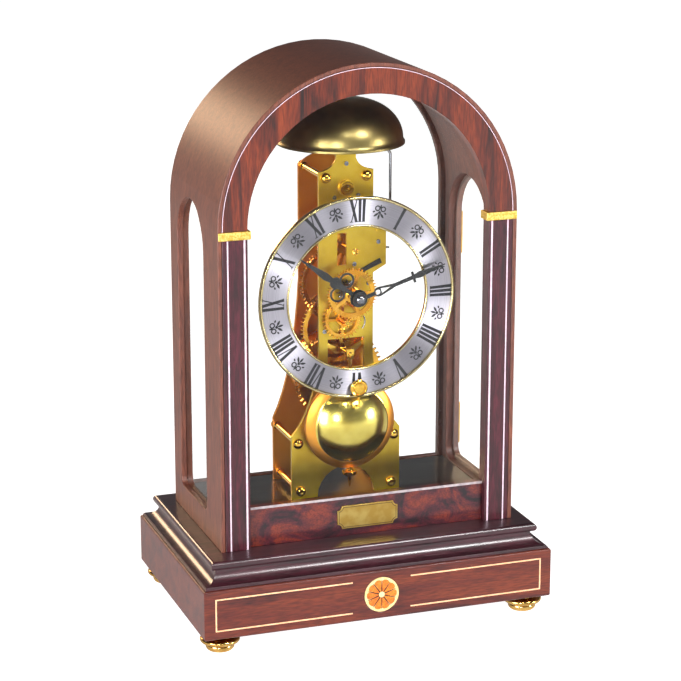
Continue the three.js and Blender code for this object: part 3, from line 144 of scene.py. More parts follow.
def new_material(name: str) -> tuple[Material, NodeTree, Node]:
    """Makes an empty material.

    Args:
        name: What the real finish is.

    Returns:
        The material, its tree and its output node.
    """
    material = bpy.data.materials.new(name)
    material.use_nodes = True
    tree = material.node_tree
    tree.nodes.clear()
    return material, tree, tree.nodes.new("ShaderNodeOutputMaterial")


def stretched(tree: NodeTree, per_mm: Point3) -> Socket:
    """Scales object coordinates for a pattern.

    Args:
        tree: The material's tree.
        per_mm: Cycles per millimetre along X, Y and Z.

    Returns:
        The scaled coordinates.
    """
    where = add_node(tree, "ShaderNodeTexCoord").outputs["Object"]
    scale = tuple(v / MM for v in per_mm)
    return add_node(tree, "ShaderNodeMapping", {"Vector": where, "Scale": scale}).outputs["Vector"]


# ------------------------------------------------------------------ finishes
@dataclass(frozen=True)
class Finish:
    """What every finish has: the real one's name, and a shader of its own kind."""

    name: str

    def shader(self, tree: NodeTree) -> Socket:
        """Builds the shader's nodes."""
        raise NotImplementedError

    def material(self) -> Material:
        """Builds the material."""
        material, tree, out = new_material(self.name)
        tree.links.new(self.shader(tree), out.inputs["Surface"])
        return material


@dataclass(frozen=True)
class Veneer(Finish):
    """Lacquered veneer: rubbed pores under a clear coat, with streaks as wide as the growth rings."""

    light: str
    middle: str
    dark: str
    grain: Grain
    ring: float = 7.0
    pore: float = 0.9
    swirl: float = 0.6
    rough: float = 0.42
    coat: float = 0.5
    coat_rough: float = 0.12
    contrast: float = 1.0

    def shader(self, tree: NodeTree) -> Socket:
        """Builds the shader's nodes."""
        along = self.grain.value
        rings = stretched(tree, tuple(a / self.ring for a in along))
        broad = add_node(tree, "ShaderNodeTexNoise", {
            "Vector": rings, "Scale": 1.0, "Detail": 5.0, "Roughness": 0.62, "Distortion": self.swirl,
        })
        spread = 0.16 / self.contrast
        base = ramp(tree, broad.outputs["Fac"], [
            (0.5 - spread * 1.1, colour(self.dark)),
            (0.5 - spread * 0.25, colour(self.middle)),
            (0.5 + spread, colour(self.light)),
        ])
        # The pores are fine dark dashes, drawn coarser than the real ones so that they show.
        fine = stretched(tree, tuple(a / self.pore for a in along))
        pores = add_node(tree, "ShaderNodeTexNoise", {"Vector": fine, "Scale": 1.0, "Detail": 2.0})
        shade = ramp(tree, pores.outputs["Fac"], [(0.35, colour("#b9b2ae")), (0.6, colour("#ffffff"))])
        mixed = add_node(
            tree, "ShaderNodeMix", {0: 0.85, 6: base, 7: shade}, data_type="RGBA", blend_type="MULTIPLY",
        )
        bump = add_node(tree, "ShaderNodeBump", {
            "Height": pores.outputs["Fac"], "Strength": 0.12, "Distance": 0.00008,
        })
        shader = add_node(tree, "ShaderNodeBsdfPrincipled", {
            "Base Color": mixed.outputs[2], "Roughness": self.rough, "Coat Weight": self.coat,
            "Coat Roughness": self.coat_rough, "Normal": bump.outputs["Normal"],
        })
        return shader.outputs[0]


@dataclass(frozen=True)
class Metal(Finish):
    """Bare or lacquered metal, polished, grained or cast."""

    base: str
    deep: str
    rough: float
    patch: float = 9.0
    grain_bump: float = 0.0
    grain_size: float = 0.6
    coat: float = 0.0

    def shader(self, tree: NodeTree) -> Socket:
        """Builds the shader's nodes."""
        where = stretched(tree, (1 / self.patch,) * 3)
        cloud = add_node(tree, "ShaderNodeTexNoise", {"Vector": where, "Scale": 1.0, "Detail": 3.0})
        tone = ramp(tree, cloud.outputs["Fac"], [(0.38, colour(self.deep)), (0.6, colour(self.base))])
        inputs = {
            "Base Color": tone, "Metallic": 1.0, "Roughness": self.rough, "Coat Weight": self.coat,
            "Coat Roughness": 0.1,
        }
        if self.grain_bump:
            small = stretched(tree, (1 / self.grain_size,) * 3)
            grit = add_node(tree, "ShaderNodeTexNoise", {"Vector": small, "Scale": 1.0, "Detail": 3.0})
            bump = add_node(tree, "ShaderNodeBump", {
                "Height": grit.outputs["Fac"], "Strength": self.grain_bump, "Distance": 0.0003,
            })
            inputs["Normal"] = bump.outputs["Normal"]
        shader = add_node(tree, "ShaderNodeBsdfPrincipled", inputs)
        return shader.outputs[0]


@dataclass(frozen=True)
class Silvered(Finish):
    """A silvered dial grained round its centre, which gives bright sectors that fan from the centre."""

    base: str
    grey: str
    centre: Point3
    lines: float = 1600.0  # grained lines per metre of radius

    def shader(self, tree: NodeTree) -> Socket:
        """Builds the shader's nodes."""
        where = add_node(tree, "ShaderNodeTexCoord").outputs["Object"]
        local = add_node(tree, "ShaderNodeVectorMath", {0: where, 1: self.centre}, operation="SUBTRACT")
        radius = add_node(tree, "ShaderNodeVectorMath", {0: local.outputs[0]}, operation="LENGTH")
        rings = add_node(tree, "ShaderNodeCombineXYZ", {"X": radius.outputs["Value"]})
        brushed = add_node(tree, "ShaderNodeTexNoise", {
            "Vector": rings.outputs[0], "Scale": self.lines, "Detail": 2.0,
        })
        tone = ramp(tree, brushed.outputs["Fac"], [(0.3, colour(self.grey)), (0.7, colour(self.base))])
        tangent = add_node(tree, "ShaderNodeTangent", direction_type="RADIAL", axis="Y")
        shader = add_node(tree, "ShaderNodeBsdfPrincipled", {
            "Base Color": tone, "Metallic": 1.0, "Roughness": 0.43, "Anisotropic": 1.0,
            "Anisotropic Rotation": 0.25, "Tangent": tangent.outputs[0],
        })
        return shader.outputs[0]


@dataclass(frozen=True)
class Plain(Finish):
    """Paint, enamel, ink or a plain inlay, with a faint mottle."""

    base: str
    shade: str
    rough: float
    coat: float = 0.0
    patch: float = 3.0

    def shader(self, tree: NodeTree) -> Socket:
        """Builds the shader's nodes."""
        where = stretched(tree, (1 / self.patch,) * 3)
        cloud = add_node(tree, "ShaderNodeTexNoise", {"Vector": where, "Scale": 1.0, "Detail": 3.0})
        tone = ramp(tree, cloud.outputs["Fac"], [(0.35, colour(self.shade)), (0.65, colour(self.base))])
        shader = add_node(tree, "ShaderNodeBsdfPrincipled", {
            "Base Color": tone, "Roughness": self.rough, "Coat Weight": self.coat,
        })
        return shader.outputs[0]


@dataclass(frozen=True)
class Pane(Finish):
    """Thin clear window glass: it lets light straight through and shows only its sheen."""

    tint: str
    wave: float = 40.0

    def shader(self, tree: NodeTree) -> Socket:
        """Builds the shader's nodes."""
        where = stretched(tree, (1 / self.wave,) * 3)
        wave = add_node(tree, "ShaderNodeTexNoise", {"Vector": where, "Scale": 1.0, "Detail": 1.0})
        bump = add_node(tree, "ShaderNodeBump", {
            "Height": wave.outputs["Fac"], "Strength": 0.02, "Distance": 0.0005,
        })
        fresnel = add_node(tree, "ShaderNodeFresnel", {"IOR": 1.3})
        behind = add_node(tree, "ShaderNodeNewGeometry").outputs["Backfacing"]
        front = add_node(tree, "ShaderNodeMath", {0: 1.0, 1: behind}, operation="SUBTRACT")
        share = add_node(tree, "ShaderNodeMath", {
            0: fresnel.outputs[0], 1: front.outputs[0],
        }, operation="MULTIPLY")
        clear = add_node(tree, "ShaderNodeBsdfTransparent", {"Color": colour(self.tint)})
        sheen = add_node(tree, "ShaderNodeBsdfAnisotropic", {
            "Color": colour("#ffffff"), "Roughness": 0.03, "Normal": bump.outputs["Normal"],
        })
        mix = add_node(tree, "ShaderNodeMixShader", {
            0: share.outputs[0], 1: clear.outputs[0], 2: sheen.outputs[0],
        })
        return mix.outputs[0]


_MADE: dict[str, Material] = {}


def finish(kind: Finish) -> Material:
    """Gives a finish's material, made once."""
    if kind.name not in _MADE:
        _MADE[kind.name] = kind.material()
    return _MADE[kind.name]


# Satin lacquer over stained walnut: a dark, quiet brown with a wide soft sheen.
CASE_VENEER = Veneer(
    "satin lacquered walnut veneer, stained brown", "#7a432f", "#693728", "#542b23", Grain.UPRIGHT,
    ring=4.0, swirl=0.3, rough=0.5, coat=0.25, coat_rough=0.36, contrast=0.7,
)
# Figured rosewood: long dark streaks in warm orange-brown.
ARCH_VENEER = Veneer(
    "lacquered figured rosewood veneer", "#7e3112", "#5a1c0a", "#1c0605", Grain.UPRIGHT,
    ring=12.0, swirl=1.1, rough=0.42, coat=0.3, coat_rough=0.15, contrast=1.0,
)
# Walnut burl: black swirls and islands of red-brown.
RAIL_BURL = Veneer(
    "lacquered walnut burl", "#74291a", "#46121e", "#12040c", Grain.BURL,
    ring=26.0, swirl=2.2, rough=0.35, coat=0.45, coat_rough=0.08, contrast=1.25,
)
# Mahogany: even red-brown, its pores hardly seen under the lacquer.
BASE_VENEER = Veneer(
    "lacquered mahogany veneer", "#773016", "#5d1e12", "#3a100f", Grain.ACROSS,
    ring=11.0, swirl=0.9, rough=0.4, coat=0.35, coat_rough=0.12, contrast=0.85,
)
# Dark purple-brown stain under satin lacquer, which draws the lights out as soft bands along the hollow.
MOULDING_LACQUER = Veneer(
    "satin dark stained moulding", "#471a26", "#36121c", "#220a12", Grain.ACROSS,
    ring=5.0, rough=0.42, coat=0.8, coat_rough=0.2,
)
# The same dark stain on the pilasters, redder, its grain upright and barely seen.
PILASTER_LACQUER = Veneer(
    "dark purple-brown stained pilaster", "#4e1222", "#3a0c18", "#22070e", Grain.UPRIGHT,
    ring=4.0, rough=0.4, coat=0.3, coat_rough=0.15,
)
# Bleached wood lines, which read as thin near-white stripes against the dark pilasters; the same pale colour
# also makes the painted highlight round the arch's outer edge.
PALE_LINE_AND_EDGE_HIGHLIGHT = Plain("bleached sycamore edge line", "#dcc6d2", "#c9afbe", 0.4, coat=0.5)
# A painted highlight on the rail's top edge: a cool grey line that stands in for the front light caught along
# that edge.
RAIL_TOP_HIGHLIGHT = Plain("lilac-grey painted highlight on the rail's top edge", "#b0a4a6", "#8f8488", 0.4, coat=0.6)
# Sycamore stringing, yellowed to a pale pinkish cream by its lacquer.
LINE_INLAY = Plain("pale sycamore line inlay", "#f4c39a", "#e8ac7e", 0.45, coat=0.4)
# Holly, with almost no figure: the flat cream ground of the medallion.
CREAM_INLAY = Plain("holly inlay, cream", "#f0d79a", "#e6c680", 0.45, coat=0.4)
# Satinwood, end grain forward: glowing orange with soft patches.
AMBER_INLAY = Veneer(
    "satinwood inlay, amber", "#ee8f22", "#dd7414", "#b8550c", Grain.DEEP,
    ring=6.0, rough=0.4, coat=0.4, contrast=0.7,
)
# Wood scorched in hot sand, and dark filled engraving: a nearly black brown line.
SCORCHED = Plain("sand-scorched inlay line", "#3a1c08", "#2a1304", 0.5)
# Black stained board under gloss, which mirrors the movement dimly.
FLOOR_STAIN = Veneer(
    "black stained floor board", "#33342f", "#222320", "#131411", Grain.ACROSS,
    ring=5.0, rough=0.4, coat=0.6, coat_rough=0.18,
)
# Polished brass under lacquer: strong yellow with sharp highlights.
POLISHED_BRASS = Metal("polished lacquered brass", "#f2c64e", "#e2ac38", 0.13, coat=0.2)
# Turned brass left bare: a little brown has dulled its yellow.
TURNED_BRASS = Metal("turned brass, lightly aged", "#dcb468", "#c2964c", 0.16)
# Thin satin brass rings, so pale beside the silver that they look like light gold.
BEZEL_BRASS = Metal("pale satin brass bezel", "#e0cf9a", "#c8b47c", 0.2)
# Rolled plate brass, grained by hand: a broad soft sheen of lemon yellow.
PLATE_BRASS = Metal("grained brass movement plate", "#e2c044", "#cfa834", 0.34, patch=22.0)
# Grained brass tinted orange as painted reflection: the rear plate and the bob's rim carry the warm reflections
# of the brass around them in their colour.
ORANGE_REFLECTION_BRASS = Metal("grained brass, tinted orange as painted reflection", "#f2a642", "#ea9a3a", 0.36, patch=30.0)
# Brass spun to a dome under satin lacquer, its highlights drawn soft.
SPUN_BRASS = Metal("spun brass, satin lacquered", "#e4d068", "#d2b84e", 0.2, coat=0.3, patch=20.0)
# Cut and polished wheel brass: deep gold, darker where a wheel faces another.
WHEEL_BRASS = Metal("cut brass wheel, warm gold", "#eab040", "#d2902a", 0.22, patch=14.0)
# Turned bell metal with years of tarnish: olive brown with wide, dull highlights.
BELL_BRASS = Metal("turned bell brass, aged", "#9c8a54", "#76663e", 0.32, patch=30.0)
# Sand-cast brass with gilding: a pitted, sparkling pale gold.
GILT = Metal("gilt brass, sand cast", "#efd27a", "#d2ac48", 0.48, patch=1.2, grain_bump=0.9, grain_size=0.9)
# Satin brass of the nameplate, a matt old gold.
LABEL_BRASS = Metal("satin brass plate", "#c8ac62", "#b8964c", 0.36, patch=8.0)
# Bare polished steel: neutral grey, with crisp dark and light edges.
BRIGHT_STEEL = Metal("bright steel", "#9a9aa0", "#77777d", 0.22)
# Stoved black enamel on the hands, a satin black that keeps its outline.
BLACK_ENAMEL = Plain("black enamelled steel", "#100f13", "#08080a", 0.42, coat=0.15)
# Printing ink on the dial: dead matt black.
DIAL_INK = Plain("black printing ink", "#16141c", "#0d0c12", 0.6)
# Clear glass, seen only where it reflects a light at a slant.
GLASS = Pane("clear float glass", "#feffff")


# ------------------------------------------------------------------ meshes, in millimetres
def plain_mesh(name: str, work: bmesh.types.BMesh) -> Mesh:
    """Makes a plain mesh of a finished bmesh, and frees the bmesh.

    Args:
        name: The mesh's name.
        work: The bmesh.

    Returns:
        The mesh.
    """
    mesh = bpy.data.meshes.new(name)
    work.to_mesh(mesh)
    work.free()
    return mesh


def to_object(name: str, mesh: Mesh, material: Material, smooth: float = SHARP) -> Obj:
    """Makes an object of a finished mesh.

    Args:
        name: The piece's name.
        mesh: Its mesh, in metres and in place.
        material: Its finish.
        smooth: Edges sharper than this many degrees stay sharp.

    Returns:
        The object, linked to the scene.
    """
    mesh.materials.clear()
    mesh.materials.append(material)
    mesh.shade_smooth()
    mesh.set_sharp_from_angle(angle=math.radians(smooth))
    made = bpy.data.objects.new(name, mesh)
    bpy.context.scene.collection.objects.link(made)
    return made


def applied(obj: Obj) -> Obj:
    """Replaces an object's mesh by the result of its modifiers, and removes them.

    Args:
        obj: The object.

    Returns:
        The same object.
    """
    graph = bpy.context.evaluated_depsgraph_get()
    mesh = bpy.data.meshes.new_from_object(obj.evaluated_get(graph), depsgraph=graph)
    obj.modifiers.clear()
    obj.data = mesh
    return obj


def softened(obj: Obj, width: float) -> Obj:
    """Rounds a piece's sharp edges.

    Args:
        obj: The piece.
        width: The rounding's width in millimetres.

    Returns:
        The same piece, with the rounding in its mesh.
    """
    bevel = obj.modifiers.new("edge", "BEVEL")
    bevel.width = width * MM
    bevel.segments = 2
    bevel.limit_method = "ANGLE"
    bevel.angle_limit = math.radians(SHARP)
    weights = obj.modifiers.new("normals", "WEIGHTED_NORMAL")
    weights.keep_sharp = True
    return applied(obj)


def refined(node: str, material: Material, width: float) -> Obj:
    """Makes a softened copy of a CAD node.

    Args:
        node: The node's name.
        material: Its finish.
        width: The rounding of its edges in millimetres.

    Returns:
        The copy.
    """
    mesh = frame["nodes"][node].data.copy()
    work = bmesh.new()
    work.from_mesh(mesh)
    bmesh.ops.remove_doubles(work, verts=work.verts, dist=2e-6)
    bmesh.ops.dissolve_limit(work, angle_limit=math.radians(0.6), verts=work.verts, edges=work.edges)
    work.to_mesh(mesh)
    work.free()
    made = to_object(node + "_finished", mesh, material)
    return softened(made, width) if width else made


def turned(name: str, profile: Outline, centre: Point, axis: Axis, material: Material, steps: int = 96) -> Obj:
    """Turns a profile of (radius, place along the axis) into a closed piece.

    Args:
        name: The piece's name.
        profile: Points; it starts and ends on the axis, or closes on itself.
        centre: The axis's place: (x, z) for Y, (x, y) for Z.
        axis: What it is turned about.
        material: Its finish.
        steps: Facets round the axis.

    Returns:
        The piece.
    """
    work = bmesh.new()
    closed = profile[0][0] > 1e-6
    rings = []
    for radius, along in profile:
        if radius < 1e-6:
            spots = [(0.0, 0.0)]
        else:
            spots = [
                (radius * math.cos(2 * math.pi * i / steps), radius * math.sin(2 * math.pi * i / steps))
                for i in range(steps)
            ]
        ring = []
        for a, b in spots:
            if axis is Axis.Y:
                place = (centre[0] + a, along, centre[1] + b)
            else:
                place = (centre[0] + a, centre[1] + b, along)
            ring.append(work.verts.new([v * MM for v in place]))
        rings.append(ring)
    pairs = list(zip(rings, rings[1:]))
    if closed:
        pairs.append((rings[-1], rings[0]))
    for low, high in pairs:
        for i in range(steps):
            j = (i + 1) % steps
            corners = [low[i % len(low)], low[j % len(low)], high[j % len(high)], high[i % len(high)]]
            unique = list(dict.fromkeys(corners))
            if len(unique) > 2:
                work.faces.new(unique)
    bmesh.ops.remove_doubles(work, verts=work.verts, dist=SAME)
    bmesh.ops.recalc_face_normals(work, faces=work.faces)
    return to_object(name, plain_mesh(name, work), material)


def plates(outlines: Sequence[tuple[Outline, Sequence[Outline]]], y0: float, y1: float) -> Mesh:
    """Makes flat plates, drawn in X and Z, between two planes.

    Args:
        outlines: Each plate's outline and its holes, in millimetres.
        y0: The front plane.
        y1: The back plane.

    Returns:
        One mesh that holds them all.
    """
    work = bmesh.new()
    for outline, holes in outlines:
        loops = [list(outline)] + [list(h) for h in holes]
        flat = [p for loop in loops for p in loop]
        front = [work.verts.new((x * MM, y0 * MM, z * MM)) for x, z in flat]
        back = [work.verts.new((x * MM, y1 * MM, z * MM)) for x, z in flat]
        for tri in tessellate_polygon([[Vector((x, z, 0)) for x, z in loop] for loop in loops]):
            if len(set(tri)) == 3:
                work.faces.new([front[i] for i in tri])
                work.faces.new([back[i] for i in reversed(tri)])
        start = 0
        for loop in loops:
            for i in range(len(loop)):
                a, b = start + i, start + (i + 1) % len(loop)
                work.faces.new([front[a], front[b], back[b], back[a]])
            start += len(loop)
    bmesh.ops.recalc_face_normals(work, faces=work.faces)
    bmesh.ops.dissolve_limit(work, angle_limit=math.radians(0.5), verts=work.verts, edges=work.edges)
    return plain_mesh("plates", work)


def arc(cx: float, cz: float, r: float, start: float, end: float, steps: int) -> list[Point]:
    """Gives points on an arc.

    Args:
        cx: The centre's first coordinate.
        cz: The centre's second coordinate.
        r: The radius.
        start: Where it starts, in degrees from the first axis towards the second.
        end: Where it ends.
        steps: Straight pieces along it.

    Returns:
        The points, both ends included.
    """
    turn = [math.radians(start + (end - start) * i / steps) for i in range(steps + 1)]
    return [(cx + r * math.cos(a), cz + r * math.sin(a)) for a in turn]


def ring(cx: float, cz: float, r: float, steps: int = 48) -> list[Point]:
    """Gives a full circle of points."""
    return arc(cx, cz, r, 0, 360, steps)[:-1]


def bar(a: Point, b: Point, wide_a: float, wide_b: float) -> list[Point]:
    """Gives a straight bar's outline.

    Args:
        a: The middle of one end.
        b: The middle of the other end.
        wide_a: The width at a.
        wide_b: The width at b.

    Returns:
        Its four corners.
    """
    dx, dz = b[0] - a[0], b[1] - a[1]
    size = math.hypot(dx, dz)
    nx, nz = -dz / size / 2, dx / size / 2
    return [
        (a[0] + nx * wide_a, a[1] + nz * wide_a), (b[0] + nx * wide_b, b[1] + nz * wide_b),
        (b[0] - nx * wide_b, b[1] - nz * wide_b), (a[0] - nx * wide_a, a[1] - nz * wide_a),
    ]


def rectangle(x0: float, x1: float, z0: float, z1: float) -> list[Point]:
    """Gives a rectangle's outline between two places along each axis."""
    left, right = sorted((x0, x1))
    return [(left, z0), (right, z0), (right, z1), (left, z1)]


def crown(mid: float, half: float, y: float, rise: float, steps: int) -> list[Point]:
    """Gives a turned bead's profile.

    Args:
        mid: The radius of its crest.
        half: Half its width.
        y: The plane that it rises from, towards the front.
        rise: How far it rises.
        steps: Straight pieces along it.

    Returns:
        Points of (radius, y), from the inside out.
    """
    turn = [math.pi * i / steps for i in range(steps + 1)]
    return [(mid - half * math.cos(a), y - rise * math.sin(a)) for a in turn]


def leaf(a: Point, b: Point, width: float, steps: int = 7) -> list[Point]:
    """Gives a pointed leaf's outline.

    Args:
        a: One tip.
        b: The other tip.
        width: Its greatest width.
        steps: Straight pieces along each side.

    Returns:
        The points round it.
    """
    dx, dz = b[0] - a[0], b[1] - a[1]
    size = math.hypot(dx, dz)
    nx, nz = -dz / size, dx / size
    sides = []
    for sign in (1, -1):
        row = []
        for i in range(steps + 1):
            t = i / steps
            half = sign * width / 2 * math.sin(math.pi * t) ** 0.8
            row.append((a[0] + dx * t + nx * half, a[1] + dz * t + nz * half))
        sides.append(row)
    return sides[0] + sides[1][-2:0:-1]


def rect_moulding(name: str, half: Point, profile: Outline, material: Material) -> Obj:
    """Runs one moulding profile round a rectangle, with mitred corners.

    Args:
        name: The piece's name.
        half: The rectangle's half sizes along X and Y.
        profile: Points of (outset, z) from the bottom to the top.
        material: Its finish.

    Returns:
        The piece, closed top and bottom.
    """
    work = bmesh.new()
    loops = []
    for out, z in profile:
        x, y = half[0] + out, half[1] + out
        corners = ((-x, -y), (x, -y), (x, y), (-x, y))
        loops.append([work.verts.new((a * MM, b * MM, z * MM)) for a, b in corners])
    for low, high in zip(loops, loops[1:]):
        for i in range(4):
            work.faces.new([low[i], low[(i + 1) % 4], high[(i + 1) % 4], high[i]])
    work.faces.new(loops[0])
    work.faces.new(loops[-1])
    bmesh.ops.recalc_face_normals(work, faces=work.faces)
    return to_object(name, plain_mesh(name, work), material, smooth=24.0)


def pierced(obj: Obj, outlines: Sequence[Outline], y0: float, y1: float) -> Obj:
    """Cuts windows through a piece, between two planes.

    Args:
        obj: The piece.
        outlines: Each window's outline in X and Z, in millimetres.
        y0: The front plane.
        y1: The back plane.

    Returns:
        The same piece, with the windows in its mesh.
    """
    cutter = bpy.data.objects.new("cutter", plates([(o, []) for o in outlines], y0, y1))
    bpy.context.scene.collection.objects.link(cutter)
    cut = obj.modifiers.new("windows", "BOOLEAN")
    cut.operation = "DIFFERENCE"
    cut.solver = "EXACT"
    cut.object = cutter
    applied(obj)
    bpy.data.objects.remove(cutter)
    return obj


def wire(name: str, points: Sequence[Point3], radius: float, material: Material) -> Obj:
    """Bends a round wire along points.

    Args:
        name: The piece's name.
        points: The wire's centre line in millimetres.
        radius: Its radius.
        material: Its finish.

    Returns:
        The piece.
    """
    curve = bpy.data.curves.new(name, "CURVE")
    curve.dimensions = "3D"
    curve.bevel_depth = radius * MM
    curve.bevel_resolution = 4
    curve.use_fill_caps = True
    spline = curve.splines.new("POLY")
    spline.points.add(len(points) - 1)
    for spot, place in zip(spline.points, points):
        spot.co = (*[v * MM for v in place], 1.0)
    temp = bpy.data.objects.new(name, curve)
    bpy.context.scene.collection.objects.link(temp)
    graph = bpy.context.evaluated_depsgraph_get()
    mesh = bpy.data.meshes.new_from_object(temp.evaluated_get(graph), depsgraph=graph)
    bpy.data.objects.remove(temp)
    work = bmesh.new()
    work.from_mesh(mesh)
    bmesh.ops.remove_doubles(work, verts=work.verts, dist=SAME)
    bmesh.ops.recalc_face_normals(work, faces=work.faces)
    work.to_mesh(mesh)
    work.free()
    return to_object(name, mesh, material, smooth=50.0)


def joined(name: str, pieces: Sequence[Obj]) -> Obj:
    """Joins pieces, each with its own finish, to one object.

    Args:
        name: The new object's name.
        pieces: What is joined; the first one stays.

    Returns:
        The joined object.
    """
    first = pieces[0]
    with bpy.context.temp_override(active_object=first, selected_editable_objects=list(pieces)):
        bpy.ops.object.join()
    first.name = name
    return first


class Circle(Enum):
    """Names of the trees' inputs."""

    TEMPLATE = "Template"
    COUNT = "Count"
    RADIUS = "Radius"
    START = "Start"
    CENTRE = "Centre"
    FINISH = "Finish"


def ended(tree: NodeTree, copies: Node, kind: Socket) -> NodeTree:
    """Ends a tree: its copies made real, with their finish set.

    Args:
        tree: The tree.
        copies: The node that makes the copies.
        kind: The input that gives the finish.

    Returns:
        The same tree.
    """
    real = add_node(tree, "GeometryNodeRealizeInstances", {"Geometry": copies.outputs[0]})
    dressed = add_node(tree, "GeometryNodeSetMaterial", {
        "Geometry": real.outputs[0], "Material": kind,
    })
    add_node(tree, "NodeGroupOutput", {0: dressed.outputs[0]})
    return tree


def ring_tree() -> NodeTree:
    """Builds the geometry nodes that set copies of a template on an upright circle.

    Returns:
        The tree. Each copy's own +Z points out from the centre; angles run clockwise from the top.
    """
    tree = bpy.data.node_groups.new("copies_on_a_circle", "GeometryNodeTree")
    sockets = (
        (Circle.TEMPLATE, "Object"), (Circle.COUNT, "Int"), (Circle.RADIUS, "Float"),
        (Circle.START, "Float"), (Circle.CENTRE, "Vector"), (Circle.FINISH, "Material"),
    )
    for name, kind in sockets:
        tree.interface.new_socket(name.value, in_out="INPUT", socket_type="NodeSocket" + kind)
    tree.interface.new_socket("Geometry", in_out="OUTPUT", socket_type="NodeSocketGeometry")
    given = tree.nodes.new("NodeGroupInput").outputs
    line = add_node(tree, "GeometryNodeMeshLine", {"Count": given["Count"], "Offset": (0, 0, 0)})
    index = add_node(tree, "GeometryNodeInputIndex")
    step = add_node(tree, "ShaderNodeMath", {0: 2 * math.pi, 1: given["Count"]}, operation="DIVIDE")
    turn = add_node(tree, "ShaderNodeMath", {
        0: index.outputs[0], 1: step.outputs[0], 2: given["Start"],
    }, operation="MULTIPLY_ADD")
    sine = add_node(tree, "ShaderNodeMath", {0: turn.outputs[0]}, operation="SINE")
    cosine = add_node(tree, "ShaderNodeMath", {0: turn.outputs[0]}, operation="COSINE")
    unit = add_node(tree, "ShaderNodeCombineXYZ", {"X": sine.outputs[0], "Z": cosine.outputs[0]})
    out = add_node(tree, "ShaderNodeVectorMath", {
        0: unit.outputs[0], "Scale": given["Radius"],
    }, operation="SCALE")
    place = add_node(tree, "ShaderNodeVectorMath", {0: out.outputs[0], 1: given["Centre"]}, operation="ADD")
    set_at = add_node(tree, "GeometryNodeSetPosition", {
        "Geometry": line.outputs[0], "Position": place.outputs[0],
    })
    euler = add_node(tree, "ShaderNodeCombineXYZ", {"Y": turn.outputs[0]})
    template = add_node(tree, "GeometryNodeObjectInfo", {"Object": given["Template"]})
    copies = add_node(tree, "GeometryNodeInstanceOnPoints", {
        "Points": set_at.outputs[0], "Instance": template.outputs["Geometry"], "Rotation": euler.outputs[0],
    })
    return ended(tree, copies, given["Finish"])


def spot_tree() -> NodeTree:
    """Builds the geometry nodes that set a copy of a template on each point of the carrier mesh.

    Returns:
        The tree.
    """
    tree = bpy.data.node_groups.new("copies_on_points", "GeometryNodeTree")
    tree.interface.new_socket("Geometry", in_out="INPUT", socket_type="NodeSocketGeometry")
    tree.interface.new_socket(Circle.TEMPLATE.value, in_out="INPUT", socket_type="NodeSocketObject")
    tree.interface.new_socket(Circle.FINISH.value, in_out="INPUT", socket_type="NodeSocketMaterial")
    tree.interface.new_socket("Geometry", in_out="OUTPUT", socket_type="NodeSocketGeometry")
    given = tree.nodes.new("NodeGroupInput").outputs
    template = add_node(tree, "GeometryNodeObjectInfo", {"Object": given["Template"]})
    copies = add_node(tree, "GeometryNodeInstanceOnPoints", {
        "Points": given["Geometry"], "Instance": template.outputs["Geometry"],
    })
    return ended(tree, copies, given["Finish"])


def grown(name: str, tree: NodeTree, values: dict[Circle, object], spots: Sequence[Point3] = ()) -> Obj:
    """Runs a tree and keeps the plain result.

    Args:
        name: The piece's name.
        tree: The geometry nodes.
        values: A value for each input.
        spots: Points of the carrier mesh in millimetres, where the tree reads them.

    Returns:
        The piece; the template is removed.
    """
    carrier = bpy.data.meshes.new("carrier")
    carrier.from_pydata([[v * MM for v in spot] for spot in spots], [], [])
    made = bpy.data.objects.new(name, carrier)
    bpy.context.scene.collection.objects.link(made)
    modifier = made.modifiers.new("copies", "NODES")
    modifier.node_group = tree
    names = {s.name: s.identifier for s in tree.interface.items_tree if s.in_out == "INPUT"}
    for key, value in values.items():
        modifier[names[key.value]] = value
    applied(made)
    bpy.data.objects.remove(values[Circle.TEMPLATE])
    made.data.shade_smooth()
    made.data.set_sharp_from_angle(angle=math.radians(SHARP))
    return made


def mm_box(node: str) -> tuple[Vector, Vector]:
    """Gives a CAD node's lowest and highest corners in millimetres."""
    low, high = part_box(node)
    return low / MM, high / MM


def middle(node: str) -> Vector:
    """Gives the middle of a CAD node's box in millimetres."""
    low, high = mm_box(node)
    return (low + high) / 2


class Assembly:
    """What the sub-assemblies share: how a piece is handed to the frame."""

    body = "case"

    def keep(self, piece: Obj, slot: str, *nodes: str, body: str | None = None) -> Obj:
        """Makes a piece ride on its body and stand for CAD nodes.

        Args:
            piece: The finished piece.
            slot: The record's material slot; not used.
            *nodes: CAD nodes it stands for.
            body: The body it rides on, if not the sub-assembly's own.

        Returns:
            The piece.
        """
        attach(piece, body or self.body)
        if nodes:
            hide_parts(*nodes)
        LOG.info("%s rides on %s", piece.name, body or self.body)
        return piece

    def copy(self, node: str, kind: Finish, width: float, slot: str, body: str | None = None) -> Obj:
        """Keeps a softened copy of one CAD node in its place."""
        return self.keep(refined(node, finish(kind), width), slot, node, body=body)

    def lathe(
        self, name: str, profile: Outline, centre: Point, axis: Axis, kind: Finish, slot: str, *nodes: str,
        steps: int = 96, body: str | None = None,
    ) -> Obj:
        """Turns a piece, as turned() does, and keeps it."""
        return self.keep(turned(name, profile, centre, axis, finish(kind), steps), slot, *nodes, body=body)

    def inlay(
        self, name: str, outlines: Sequence[tuple[Outline, Sequence[Outline]]], y0: float, y1: float,
        kind: Finish, slot: str, *nodes: str,
    ) -> Obj:
        """Makes flat plates, as plates() does, and keeps them."""
        return self.keep(to_object(name, plates(outlines, y0, y1), finish(kind)), slot, *nodes)


